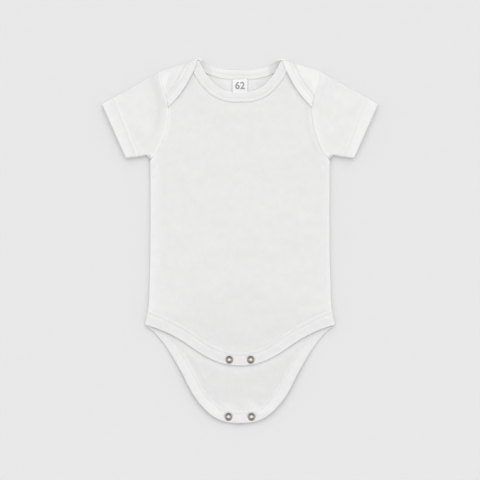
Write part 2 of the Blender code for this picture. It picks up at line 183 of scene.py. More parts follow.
def smooth(rows, step=STEP):
    """A smooth curve through the rows, as points about a step apart."""
    rows = np.array(rows, float)
    at_row = lengths(rows)
    slope = np.gradient(rows, at_row, axis=0)
    at = np.linspace(0, at_row[-1], max(2, round(at_row[-1] / step)) + 1)
    k = np.clip(np.searchsorted(at_row, at, side="right") - 1, 0, len(rows) - 2)
    span = (at_row[k + 1] - at_row[k])[:, None]
    t = (at - at_row[k])[:, None] / span
    start = (1 + 2 * t) * (1 - t) ** 2 * rows[k] + t * (1 - t) ** 2 * span * slope[k]
    end = t * t * (3 - 2 * t) * rows[k + 1] + t * t * (t - 1) * span * slope[k + 1]
    return start + end


def mirrored(line):
    """The same line on the other side of X = 0, run the other way."""
    return np.array(line, float)[::-1] * (-1, 1)


def from_left_to_right(rows):
    """Rows that start on X = 0 and run outwards, made into one line across the garment."""
    return np.vstack([mirrored(rows)[:-1], rows])


def lengths(line):
    """How far along the line each of its points is."""
    return np.r_[0, np.cumsum(np.linalg.norm(np.diff(line, axis=0), axis=1))]


def at_lengths(line, at):
    """The points that are so far along the line."""
    return np.column_stack([np.interp(at, lengths(line), line[:, i]) for i in (0, 1)])


def along_line(line, share):
    return at_lengths(line, share * lengths(line)[-1])


def moved_left(line, by):
    """The line moved to its left by a distance, or by one for each point."""
    along = np.gradient(line, axis=0)
    along /= np.maximum(np.linalg.norm(along, axis=1), 1e-9)[:, None]
    return line + np.column_stack([-along[:, 1], along[:, 0]]) * np.reshape(by, (-1, 1))


def extended(line, by=14.0):
    """The line with a straight piece added at each end."""
    first, last = line[0] - line[1], line[-1] - line[-2]
    steps = np.arange(STEP, by + STEP, STEP)[:, None]
    first, last = first / np.linalg.norm(first), last / np.linalg.norm(last)
    return np.vstack([line[0] + first * steps[::-1], line, line[-1] + last * steps])


def nearest(points, line):
    """Each point's distance from a line, and how far along the line the nearest place is."""
    tree = KDTree(len(line))
    for i, corner in enumerate(line):
        tree.insert((*corner, 0), i)
    tree.balance()
    near = np.array([tree.find((*point, 0))[1] for point in points])
    at = lengths(line)
    gap, place = np.full(len(points), np.inf), np.zeros(len(points))
    for first in (near - 1, near):
        first = np.clip(first, 0, len(line) - 2)
        start, run = line[first], line[first + 1] - line[first]
        length = np.maximum(np.linalg.norm(run, axis=1), 1e-9)
        t = np.clip(((points - start) * run).sum(axis=1) / length**2, 0, 1)
        found = np.linalg.norm(start + run * t[:, None] - points, axis=1)
        place = np.where(found < gap, at[first] + t * length, place)
        gap = np.minimum(gap, found)
    return gap, place


def distance(points, line):
    return nearest(points, line)[0]


def inside(points, outline):
    """Whether each point lies inside a closed outline."""
    x, y = points[:, :1], points[:, 1:]
    a, b = outline, np.roll(outline, -1, axis=0)
    spans = (a[:, 1] > y) != (b[:, 1] > y)
    rise = np.where(b[:, 1] == a[:, 1], 1, b[:, 1] - a[:, 1])
    crossing = a[:, 0] + (y - a[:, 1]) / rise * (b[:, 0] - a[:, 0])
    return (spans & (crossing > x)).sum(axis=1) % 2 == 1


# ---- the shoulder fold ----

FOLD_SHARP = 0.65  # width of the fold against its height; 1 is half round
ALONG_SHOULDER = (SHOULDER_TIP - NECK_TIP) / np.linalg.norm(SHOULDER_TIP - NECK_TIP)
OVER_SHOULDER = np.array((-ALONG_SHOULDER[1], ALONG_SHOULDER[0]))
FOLD_START = NECK_TIP - OVER_SHOULDER * AXIS_Z * FOLD_SHARP
BEND = {
    "back": math.pi * (AXIS_Z - CLOTH / 2),
    "front": math.pi * (2 * SLOT + CLOTH / 2 - AXIS_Z),
}


def past_fold(x, y):
    """How far a point is past the shoulder's fold line; less than 0 before it."""
    return (np.abs(x) - FOLD_START[0]) * OVER_SHOULDER[0] + (y - FOLD_START[1]) * OVER_SHOULDER[1]


def unfolded(rows, bend):
    """Rows of a lap as it lies, moved to where they are on the flat cut."""
    rows = np.array(rows, float)
    return rows + OVER_SHOULDER * (bend - 2 * past_fold(*rows.T))[:, None]


def lap_drop(past):
    """How far a back lap sinks at a distance from the shoulder's fold."""
    return LAP_DROP * ramp(past, 12, 26)


def turned_over(x, y, z, bend):
    """Where points of the flat cut lie once the laps are turned over the shoulders."""
    past = past_fold(x, y)
    turn = math.pi * np.clip(past / bend, 0, 1)
    reach = FOLD_SHARP * np.abs(z - AXIS_Z) * np.sin(turn) - np.maximum(past - bend, 0)
    shift = np.where(past > 0, reach - past, 0)
    out, up = OVER_SHOULDER
    height = AXIS_Z + (z - AXIS_Z) * np.cos(turn)
    if bend == BEND["back"]:
        height = height - lap_drop(past - bend)
    return np.column_stack([x + np.sign(x) * out * shift, y + up * shift, height])


def where_it_lies(x, y, layer):
    """The plan of points of a layer's flat cut, once its laps are turned over."""
    return turned_over(x, y, np.zeros(len(x)), BEND[layer]).T[:2]


# ---- heights of the layers ----

SIDE_LINE = smooth(SIDE)
ARM_LINE = smooth(ARMHOLE)
LAP_ARM_LINE = smooth(LAP_ARMHOLE)
FRONT_LEG_LINE = smooth(FRONT_LEG)
BACK_LEG_LINE = smooth(BACK_LEG)
BACK_NECK_LINE = smooth(BACK_NECK)


def on_half(x, y):
    return np.column_stack([np.abs(x), y])


def from_snap(x, y, layer):
    return np.hypot(np.abs(x) - SNAPS[layer][0], y - SNAPS[layer][1])


def snap_level(x, y, layer):
    """1 where a layer lies on the metal under its snap, falling to 0 around it."""
    return fall(from_snap(x, y, layer), *SNAP_SPAN[layer])


def roll(to_side):
    """The round edge at the garment's side: 0 at the very side and 1 where it has turned flat."""
    return np.sqrt(1 - (1 - np.clip(to_side / SIDE_ROLL, 0, 1)) ** 2)


def back_low(x, y):
    """Height of the back's underside: on the floor, but for its edges and the two studs at its crotch."""
    half = on_half(x, y)
    side = SIDE_CURL * (1 - roll(distance(half, SIDE_LINE)))
    leg = LEG_CURL * fall(distance(half, BACK_LEG_LINE), 0, CURL_REACH["leg"])
    leg *= 1 - 0.75 * ramp(half[:, 0], 60, 88)
    neck = NECK_CURL * fall(distance(half, BACK_NECK_LINE), 0, CURL_REACH["neck"])
    neck *= fall(past_fold(x, y), -34, -14)
    level = np.maximum(np.maximum(leg, neck), side)
    return level + (STUD_HEIGHT + GAP - level) * snap_level(x, y, "back")


def front_low(x, y):
    """Height of the front's underside above the floor."""
    half = on_half(x, y)
    seam = CLOTH + GAP
    to_side, to_leg = distance(half, SIDE_LINE), distance(half, FRONT_LEG_LINE)
    level = seam + CROWN * ramp(np.minimum(to_side, to_leg), 0, CROWN_REACH)
    level += SIDE_LOFT * roll(to_side) * (1 - 0.5 * ramp(to_side, 6, 40))
    corner = ramp(half[:, 0], CORNER_FROM[0], CORNER_FROM[0] + CORNER_REACH)
    corner *= ramp(-y, CORNER_FROM[1], CORNER_FROM[1] + CORNER_REACH)
    level += (BAND - CLOTH) * corner
    level -= TAB_DIP * fall(to_leg, 0, 14) * fall(half[:, 0], 22, 52)
    shoulder = ramp(past_fold(x, y), -SHOULDER_RISE[0], -SHOULDER_RISE[1])
    level += (2 * SLOT - level) * shoulder
    over_socket = seam + SOCKET_HEIGHT + 0.2
    return level + np.maximum(over_socket - level, 0) * snap_level(x, y, "front")


LOW = {"front": front_low, "back": back_low}

# ---- creases and unevenness ----

# Soft ridges, and troughs where the rise is below 0: middle (x, y), direction in degrees, length, width,
# rise, and bow, which is how far the ends bend to the ridge's left
FRONT_CREASES = (
    (62, 177, 124, 44, 5.5, -1.0, 0),
    (-62, 178, 56, 36, 4.5, -0.5, 0),
    (-72, 92, 118, 60, 7.0, 0.28, 5),
    (-60, 84, 122, 54, 6.0, -0.20, 4),
    (-88, 52, 100, 50, 6.0, 0.25, -4),
    (70, 96, 58, 64, 8.0, 0.35, -6),
    (58, 88, 54, 50, 7.0, -0.25, -4),
    (78, 20, 76, 70, 8.0, 0.30, 5),
    (64, -14, 66, 60, 9.0, -0.25, 4),
    (-40, 10, 84, 90, 12.0, 0.25, 6),
    (20, 30, 96, 100, 14.0, 0.25, -8),
    (-16, -60, 80, 70, 12.0, 0.30, 5),
    (44, -62, 70, 66, 10.0, 0.30, -5),
    (84, -84, 12, 40, 4.0, 0.35, 3),
    (86, -74, 8, 36, 3.5, -0.35, 3),
    (-84, -80, -14, 36, 4.5, 0.35, -3),
    (-70, -66, -22, 40, 5.0, -0.25, -3),
    (0, 150, 4, 60, 10.0, 0.25, 4),
    (-36, 140, 150, 40, 7.0, -0.25, 4),
    (36, 142, 28, 40, 7.0, -0.25, -4),
)
BACK_CREASES = (
    (-46, -150, -62, 26, 3.0, 0.6, 2),
    (-56, -132, -50, 26, 3.0, 0.7, 3),
    (48, -148, 60, 26, 3.0, 0.6, -2),
    (60, -130, 52, 26, 3.0, 0.7, -3),
    (-20, -168, 10, 30, 5.0, 0.4, 3),
    (18, -172, -6, 34, 5.0, 0.4, -3),
    (6, -186, 0, 26, 4.0, 0.4, 2),
    (0, -156, 4, 50, 6.0, 0.3, 3),
    (-26, 182, 30, 26, 4.0, 0.3, 2),
    (27, 183, -30, 26, 4.0, 0.3, -2),
)
UNDERARM_CREASES = (
    (-98.5, 86, 66, 13, 1.1, -0.30, 0.5),
    (-96.8, 85, 64, 15, 1.2, 0.30, 0.5),
    (-98.0, 74, 58, 10, 1.1, -0.25, 0),
    (-96.4, 74, 58, 12, 1.2, 0.22, 0),
    (97, 86, 112, 18, 1.4, -0.18, -0.5),
    (94.8, 85, 114, 18, 1.6, 0.16, -0.5),
)
LAP_CREASES = (
    (80.2, 180, 108, 18, 1.2, -0.30, 1.0),
    (84, 182, 104, 18, 1.8, 0.16, 0),
    (-86, 186, 74, 16, 3.0, 0.40, 0),
    (-80, 186, 66, 18, 2.4, -0.30, 0),
)
LAP_FADE = (-16.0, -4.0)  # distances past the fold between which the relief fades out before it


def crease_height(x, y, rows):
    height = np.zeros(len(x))
    for middle_x, middle_y, angle, length, width, rise, bow in rows:
        across_x, across_y = -math.sin(math.radians(angle)), math.cos(math.radians(angle))
        along = (x - middle_x) * across_y - (y - middle_y) * across_x
        share = along / (length / 2)
        across = (x - middle_x) * across_x + (y - middle_y) * across_y - bow * share**2
        height += rise * np.exp(-(share**4)) * hump(across, 0, width)
    return height


def unevenness(x, y, seed, shortest, longest, count=28):
    """A smooth random height, about -1 to 1, made of waves in all directions."""
    draw = np.random.default_rng(seed)
    height = np.zeros(len(x))
    for _ in range(count):
        wave = draw.uniform(shortest, longest)
        angle, phase = draw.uniform(0, 2 * math.pi, 2)
        height += np.sin(2 * math.pi / wave * (x * math.cos(angle) + y * math.sin(angle)) + phase)
    return height / math.sqrt(count)


# ---- meshes ----


def placed(name, data):
    """A new object in the scene."""
    made = bpy.data.objects.new(name, data)
    bpy.context.scene.collection.objects.link(made)
    return made


def add_mesh(name, points, faces, finish):
    """A smooth piece from points in mm, which rides on the garment's one body."""
    mesh = bpy.data.meshes.new(name)
    mesh.from_pydata(((np.asarray(points) + (0, SLIDE_Y, 0)) * MM).tolist(), [], faces)
    mesh.materials.append(finish)
    mesh.shade_smooth()
    made = placed(name, mesh)
    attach(made, "root")
    return made


def write_cloth(made, cloth, white):
    """Stores where each point is on the cloth, in metres, and how white the cloth is painted there, painted
    light and shade included.
    """
    places = made.data.attributes.new("cloth", "FLOAT_VECTOR", "POINT")
    places.data.foreach_set("vector", np.column_stack([cloth * MM, np.zeros(len(cloth))]).ravel())
    whiteness = made.data.attributes.new("whiteness", "FLOAT", "POINT")
    whiteness.data.foreach_set("value", np.asarray(white, float))


def face_outwards(made):
    """Joins a mesh's open ends where they meet and turns its faces outwards."""
    work = bmesh.new()
    work.from_mesh(made.data)
    bmesh.ops.remove_doubles(work, verts=[v for v in work.verts if v.is_boundary], dist=JOIN_WITHIN)
    bmesh.ops.recalc_face_normals(work, faces=work.faces)
    work.to_mesh(made.data)
    work.free()


def rounded(gap, radius):
    """Share of a wall's thickness at a distance from its edge, for a round edge."""
    return np.sqrt(np.maximum(1 - (1 - np.clip(gap / radius, 0, 1)) ** 2, 0))


def border_of(faces):
    """The edges on the border of a flat piece, as pairs of corners."""
    ends = np.vstack([faces[:, [0, 1]], faces[:, [1, 2]], faces[:, [2, 0]]])
    pairs, counts = np.unique(np.sort(ends, axis=1), axis=0, return_counts=True)
    return pairs[counts == 1]


def to_border(flat, faces):
    """Distance of a flat piece's points from its own border."""
    pairs = border_of(faces)
    tree = KDTree(len(pairs))
    for i, (a, b) in enumerate(pairs):
        tree.insert((*(flat[a] + flat[b]) / 2, 0), i)
    tree.balance()
    found = np.full(len(flat), np.inf)
    for k, point in enumerate(flat):
        for _, i, _ in tree.find_n((*point, 0), NEAR_EDGES):
            start, run = flat[pairs[i][0]], flat[pairs[i][1]] - flat[pairs[i][0]]
            t = min(max((point - start) @ run / max(run @ run, 1e-12), 0), 1)
            found[k] = min(found[k], math.dist(point, start + run * t))
    return found


def shell(name, flat, faces, over, under, bend, cloth, white, finish):
    """A closed thin piece between two heights, which meet on its border, with its laps turned over."""
    rim = np.zeros(len(flat), bool)
    rim[border_of(faces)] = True
    faces = faces[~rim[faces].all(axis=1)]
    x, y = flat.T
    middle = (over + under) / 2
    top = turned_over(x, y, np.where(rim, middle, over), bend)
    bottom = turned_over(x, y, under, bend)
    second = np.where(rim, np.arange(len(flat)), -1)
    second[~rim] = len(flat) + np.arange((~rim).sum())
    used = np.unique(np.concatenate([faces.ravel(), second[faces].ravel()]))
    new = np.full(len(flat) * 2, -1)
    new[used] = np.arange(len(used))
    points = np.vstack([top, bottom[~rim]])[used]
    every = np.vstack([faces, second[faces][:, ::-1]])
    made = add_mesh(name, points, new[every].tolist(), finish)
    write_cloth(made, np.vstack([cloth, cloth[~rim]])[used], np.r_[white, white[~rim]][used])
    return made


# ---- the two layers of the body, each cut flat into a panel and its bindings ----


def outline_of(layer, neck, leg):
    """The closed flat outline of a layer, run anticlockwise from its right leg corner."""
    lap = unfolded(smooth(LAP_ARMHOLE), BEND[layer])[::-1]
    right = np.vstack([smooth(SIDE), smooth(ARMHOLE)[1:], smooth(LAP_ARMHOLE)[1:], lap])
    return np.vstack([right, neck[1:-1], mirrored(right), leg[1:-1]])


def fold_lines(layer):
    inwards, outwards = FOLD_ENDS
    lines = []
    for step in range(BEND_STEPS[layer] + 1):
        start = FOLD_START + OVER_SHOULDER * BEND[layer] * step / BEND_STEPS[layer]
        at = np.arange(-inwards, outwards, 2 * STEP)[:, None]
        line = start + ALONG_SHOULDER * at
        lines += [line, mirrored(line)]
    return lines


def both_sides(line, offsets):
    return np.vstack([moved_left(line, side * by) for by in offsets for side in (1, -1)])


class Layer:
    """One layer of the body as it is cut: its edges, its seams, and its triangles sorted into pieces."""

    def __init__(self, name, neck_rows, leg_rows):
        self.name = name
        self.bend = BEND[name]
        lap = unfolded(LAP_EDGE, self.bend)
        neck = smooth(from_left_to_right(np.vstack([neck_rows, lap])))[::-1]
        leg = smooth(from_left_to_right(leg_rows))
        self.edges = {"neck": neck, "leg": leg}
        flare = LEG_FLARE * ramp(np.abs(leg[:, 0]), *FLARE_SPAN)
        self.widths = {"neck": np.full(len(neck), NECK_BAND[name]), "leg": LEG_BAND[name] + flare}
        self.seams = {band: self.line_in(band, 0) for band in self.edges}
        self.cut()

    def line_in(self, band, from_seam):
        """The line in a binding at a distance from its seam, with straight ends past the cloth."""
        return extended(moved_left(self.edges[band], self.widths[band] - from_seam))

    def cut(self):
        outline = outline_of(self.name, self.edges["neck"], self.edges["leg"])
        border = np.vstack([outline, outline[:1]])
        panel_edges = {band: self.line_in(band, TUCK) for band in self.edges}
        lines = [border, *self.seams.values(), *panel_edges.values()]
        points = self.carriers(outline, lines)
        self.flat, faces = triangles_of(lines + fold_lines(self.name), points)
        middle = self.flat[faces].mean(axis=1)
        faces = faces[inside(middle, outline)]
        middle = self.flat[faces].mean(axis=1)
        rest = np.ones(len(faces), bool)
        self.faces = {}
        for band, edge in self.edges.items():
            outer = extended(moved_left(edge, -GAP))
            within = [np.vstack([outer, line[::-1]]) for line in (self.seams[band], panel_edges[band])]
            self.faces[band] = faces[rest & inside(middle, within[0])]
            rest &= ~inside(middle, within[1])
        self.faces["panel"] = faces[rest]

    def carriers(self, outline, lines):
        """Points that carry the relief: a grid, rows along edges and in the bindings, rings at the snaps."""
        rows = [both_sides(line, ROUND_ROWS) for line in lines]
        for band in self.edges:
            rows += [self.line_in(band, row + step) for row in STITCH_ROWS for step in NEEDLE_ROWS]
            plain = STITCH_ROWS[-1] + NEEDLE_ROWS[-1] + BAND_ROW
            rows += [self.line_in(band, by) for by in np.arange(plain, self.widths[band].max(), BAND_ROW)]
        columns = np.arange(-46, 47) * GRID
        grid = np.array([(x, y) for x in columns for y in np.arange(-88, 100) * GRID])
        grid = grid[np.min([distance(grid, line) for line in lines], axis=0) > GRID * 0.7]
        for band, edge in self.edges.items():
            grid = grid[distance(grid, extended(edge)) > self.widths[band].max() + GRID / 2]
        snap = np.array(SNAPS[self.name])
        reach = DOME_RINGS[-1][0] + 0.4
        for sign in (1, -1):
            centre = snap * (sign, 1)
            rows = [row[np.hypot(*(row - centre).T) > reach] for row in rows]
            for radius, count in DOME_RINGS:
                turn = np.arange(count) * 2 * math.pi / count
                rows.append(centre + radius * np.column_stack([np.cos(turn), np.sin(turn)]))
        points = np.vstack([grid, *rows])
        points = points[inside(points, outline)]
        return points[np.min([distance(points, line) for line in lines], axis=0) > ROUND_ROWS[0] * 0.8]

    def piece(self, part):
        """A piece's own points and its faces on them."""
        used, faces = np.unique(self.faces[part], return_inverse=True)
        return self.flat[used], faces.reshape(-1, 3)


def triangles_of(lines, points):
    """The plane cut into triangles along the lines and through the points."""
    corners, edges = [], []
    for line in lines:
        first = len(corners)
        corners += [Vector(p) for p in line]
        edges += [(i, i + 1) for i in range(first, len(corners) - 1)]
    corners += [Vector(p) for p in points]
    corners, _, faces, *_ = delaunay_2d_cdt(corners, edges, [], 0, 0.01)
    return np.array([tuple(c) for c in corners]), np.array(faces)


# How far a panel is lifted by its unevenness, and by what its seams and their turnings add
FINE_UNEVEN = 0.10
BROAD_UNEVEN = 0.20
SIDE_SWELL = 0.15
ARM_SWELL = 0.16
ARM_RIDGE = 0.26


def panel_relief(layer, x, y, to_seams):
    """How far a panel is lifted from its plain form."""
    half = on_half(x, y)
    past = past_fold(x, y)
    to_side = distance(half, SIDE_LINE)
    height = FINE_UNEVEN * unevenness(x, y, 3 + (layer == "back"), 14, 34)
    if layer == "front":
        height += BROAD_UNEVEN * unevenness(x, y, 11, 40, 110)
        to_arm = distance(half, ARM_LINE)
        height *= ramp(to_side, 0, 16) * ramp(to_arm, 0, 12)
        height += crease_height(x, y, FRONT_CREASES) * ramp(to_side, 0, 7) * ramp(to_arm, 0, 7)
        height += crease_height(x, y, UNDERARM_CREASES) * ramp(to_side, 0, 2)
        height += SIDE_SWELL * ramp(to_side, 0, 2) * fall(to_side, 3, 14)
        height += ARM_SWELL * ramp(to_arm, 0, 1.5) * fall(to_arm, ARM_ALLOWANCE - 2, ARM_ALLOWANCE + 2)
        height += ARM_RIDGE * hump(to_arm, 1.3, 0.9)
    else:
        height = np.abs(height) + np.maximum(crease_height(x, y, BACK_CREASES), 0)
        height *= ramp(to_side, 4, 16)
    height *= fall(past, *LAP_FADE)
    height = height * ramp(to_seams["leg"], 0, 6) + (BAND - WALL) / 2 * fall(to_seams["leg"], 1, 7)
    height *= ramp(to_seams["neck"], 0, 4)
    outwards = 2 * ramp(past, 0, BEND[layer]) - 1 if layer == "back" else -1
    height = height + outwards * NECK_DIP * (1 + ramp(half[:, 0], 15, 40)) * hump(to_seams["neck"], 0, 0.9)
    if layer == "back":
        creases = crease_height(*where_it_lies(x, y, layer), LAP_CREASES)
        height = height - creases * ramp(past, BEND[layer], BEND[layer] + 6)
    return height


# How white the cloth is painted: 0 where it is single and 1 where layers lie on each other. Much of it is
# painted light: painted shade, down below 0, in hollows, seams, needle rows, creases and on the steep faces
# of folds, and painted highlights on ridges and rolled edges. A pair holds what is at X < 0 and at X > 0.
BODY_WHITE = 0.375
BODY_FADE = 0.19  # painted shade: how much less white the front's middle is painted towards the crotch
SIDE_STRIPS = (15, 9)  # widths of the whiter strips along the side seams
STRIP_WHITE = (0.60, 0.42)
ARM_WHITE = 0.16  # beside the armhole, over the seam's turnings
ARM_SEAM_PAINTED_SHADE = (0.6, 0.8)  # painted shade in the armhole's seam, how dark it is
BACK_WHITE = 0.05  # added all over the back
# painted light: the inside of the back is painted whiter towards the neck
INSIDE_NECK_PAINTED_LIGHT = 0.75
INSIDE_NECK_SHADE = (0.35, 0.7)  # painted shade inside the back, towards the neck tips
BELOW_FRONT_PAINTED_LIGHT = 0.6  # painted light on the back close under the front's leg edge, which lightens the shadow there
LAP_WHITE = (0.70, 1.0)
LAP_ARM_WHITE = 0.5
LAP_ARM_SHADE = 1.2  # painted shade in its armhole's seam
LAP_SEAM_PAINTED_SHADE = (0.45, 0.8)  # painted shade in the seams of its binding
BAND_WHITE = {("neck", "front"): 0.58, ("neck", "back"): 0.90, ("leg", "front"): 0.42, ("leg", "back"): 0.34}
# painted highlight on the laps' rolled free edge
LAP_EDGE_PAINTED_HIGHLIGHT = 0.6
# painted light on the front's leg binding where it slopes down to its edge
LEG_EDGE_PAINTED_LIGHT = 0.45
TIP_SHADE = 1.3  # painted shade of the hollow inside the neck tips
TIP_REACH_SHADE = (0.7, 1.3)  # and painted shade on the binding that leads to it
# the deepest painted shade that a binding's whiteness may reach
DARKEST = -2.0
SLEEVE_WHITE = 0.60
HEM_WHITE = 1.0
CREASE_SHADE = 1.3  # painted light and shade of a crease: how much whiter it is painted for each mm of its height, and darker in its troughs
FOLD_SHADE = 2.0  # painted shade: how much darker the steep faces of the folds are painted
SHADE_SPAN = (0.2, 1.2)  # and how far from the outline
NOTCH_SHADE = 2.5  # painted shade of the hollow under the arm


def by_side(x, pair):
    """The first of a pair at X < 0, and the second elsewhere."""
    return np.where(x < 0, *pair)


def fold_face(x, y, layer):
    """1 on the steep outer face of the shoulder's fold, where painted shade goes."""
    past = past_fold(x, y)
    turn = math.pi * np.clip(past / BEND[layer], 0, 1)
    from_outline = AXIS_Z * FOLD_SHARP * (1 - np.sin(turn)) + np.maximum(past - BEND[layer], 0)
    from_outline += np.maximum(-past, 0)
    return 1 - 0.75 * ramp(from_outline, 0.3, 1.5) - 0.25 * ramp(from_outline, 1, 4)


def lap_white_and_painted_light(layer, x, y, to_neck):
    """How white a lap is painted, with painted shade in its seams and painted light and shade on its creases.
    Only the back's laps show, so the front's are plain.
    """
    white = by_side(x, LAP_WHITE)
    if layer == "front":
        return white
    lies = where_it_lies(x, y, layer)
    at_arm = distance(on_half(*lies), LAP_ARM_LINE)
    # whiter over the armhole's seam turnings, with painted shade in the seam itself
    white = white + LAP_ARM_WHITE * fall(at_arm, 1, 3) - LAP_ARM_SHADE * hump(at_arm, 0, 0.6)
    # painted shade in the binding's seam
    white = white - by_side(x, LAP_SEAM_PAINTED_SHADE) * hump(to_neck, 0, 0.7)
    # painted light and shade on the lap's creases
    return white + CREASE_SHADE * crease_height(*lies, LAP_CREASES)


def back_white_and_painted_light(x, y):
    """How white the back is painted, but for its laps: painted light towards the neck and close under the
    front's leg edge, and painted shade towards the neck tips.
    """
    # painted light towards the neck, and painted shade towards the neck tips
    white = INSIDE_NECK_PAINTED_LIGHT * ramp(y, 110, 165)
    white -= by_side(x, INSIDE_NECK_SHADE) * ramp(np.abs(x), 12, 28) * ramp(y, 150, 175)
    to_leg = distance(on_half(x, y), FRONT_LEG_LINE)
    # painted light close under the front's leg edge
    return white + np.where(y < 0, BELOW_FRONT_PAINTED_LIGHT, 0) * fall(to_leg, 1, 12)


def front_white_and_painted_light(x, y):
    """How white the front is painted, but for its laps: whiter over doubled cloth, with painted shade towards
    the crotch and in the armhole's seam, and painted highlights beside it.
    """
    half = on_half(x, y)
    to_side, to_arm = distance(half, SIDE_LINE), distance(half, ARM_LINE)
    strip = 1 - np.clip(to_side / by_side(x, SIDE_STRIPS), 0, 1)
    # painted shade of the front's middle towards the crotch
    white = BODY_WHITE - BODY_FADE * ramp(-y, 10, 110) * fall(half[:, 0], 40, 98)
    white += by_side(x, STRIP_WHITE) * strip**1.3 + ARM_WHITE * fall(to_arm, 1, ARM_ALLOWANCE + 2)
    # painted highlight on the ridge beside the armhole seam at X < 0
    white += by_side(x, (0.15 + 0.4 * ramp(y, 105, 130), 0)) * fall(to_arm, 0.6, 3)
    # painted shade in the armhole's seam
    white -= by_side(x, ARM_SEAM_PAINTED_SHADE) * hump(to_arm, 0, 0.5)
    # painted shade in a soft band beside the armhole at X > 0
    white -= by_side(x, (0.0, 0.3)) * hump(to_arm, 5.5, 2.4) * ramp(y, 96, 112)
    # painted light and shade on the creases under the arm
    return white + CREASE_SHADE * crease_height(x, y, UNDERARM_CREASES)


def build_panel(layer, jersey):
    flat, faces = layer.piece("panel")
    x, y = flat.T
    to_seams = {band: distance(flat, seam) for band, seam in layer.seams.items()}
    half = WALL / 2 * rounded(to_border(flat, faces), PANEL_ROUND)
    relief = panel_relief(layer.name, x, y, to_seams)
    middle = np.maximum(LOW[layer.name](x, y) + WALL / 2 + relief, WALL / 2)
    white = (front_white_and_painted_light if layer.name == "front" else back_white_and_painted_light)(x, y)
    white += (lap_white_and_painted_light(layer.name, x, y, to_seams["neck"]) - white) * ramp(past_fold(x, y), -2, 0)
    if layer.name == "back":
        # painted shade on the steep face of the shoulder fold
        white += BACK_WHITE - FOLD_SHADE * fold_face(x, y, layer.name)
    made = shell(f"panel_{layer.name}", flat, faces, middle + half, middle - half, layer.bend, flat, white,
                 jersey)
    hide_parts(f"{layer.name}_panel")
    return made


def binding_swell(from_seam):
    """How much a binding bulges between its two folds."""
    by_seam, by_edge = BAND_SWELL
    return by_seam * ramp(from_seam, 0, 0.8) + by_edge * ramp(from_seam, STITCH_ROWS[1], STITCH_ROWS[1] + 2.5)


def needle_depth(from_seam, s):
    """How deep the needle rows are pressed in: deepest where a stitch goes through the cloth."""
    beads = 0.7 + 0.3 * np.cos(2 * math.pi * s / STITCH_PITCH)
    return sum(depth * hump(from_seam, row, ROW_WIDTH) * beads for row, depth in zip(STITCH_ROWS, ROW_DEPTHS))


def binding_white_and_painted_light(layer, band, x, y, from_edge, from_seam, lap):
    """How white a binding is painted, but for what its snaps change: painted shade in seams, hollows and on
    folds, and painted highlights on rolled edges.
    """
    white = np.full(len(x), BAND_WHITE[band, layer])
    if layer == "front":
        return white
    past = past_fold(x, y)
    white += lap * (by_side(x, LAP_WHITE) - white)
    # painted shade on the fold's steep face, turning to painted light within a few mm of the binding's edge
    white -= FOLD_SHADE * fold_face(x, y, layer) * (1.4 * ramp(from_edge, 0.3, 4) - 0.4)
    if band == "neck":
        # painted shade in the seam and in the outer needle row
        lines = hump(from_seam, 0, 0.6) + 0.5 * hump(from_seam, STITCH_ROWS[1], 0.5)
        white -= lap * by_side(x, LAP_SEAM_PAINTED_SHADE) * lines
        # painted shade in the hollow at the neck tips
        near_tip = fall(np.hypot(np.abs(x) - NECK_TIP[0], y - NECK_TIP[1]), 2, 12)
        hollow = TIP_SHADE * near_tip + by_side(x, TIP_REACH_SHADE) * ramp(np.abs(x), 30, 36)
        white -= hollow * fall(past, -1.5, 0.5)
        # painted highlight on the laps' rolled edge
        white += LAP_EDGE_PAINTED_HIGHLIGHT * fall(from_edge, 0.6, 2.4) * lap
        # painted shade along the neck's outline
        white -= 0.8 * FOLD_SHADE * fall(from_edge, *SHADE_SPAN) * fall(past, -1, 1)
    return np.maximum(white, DARKEST)


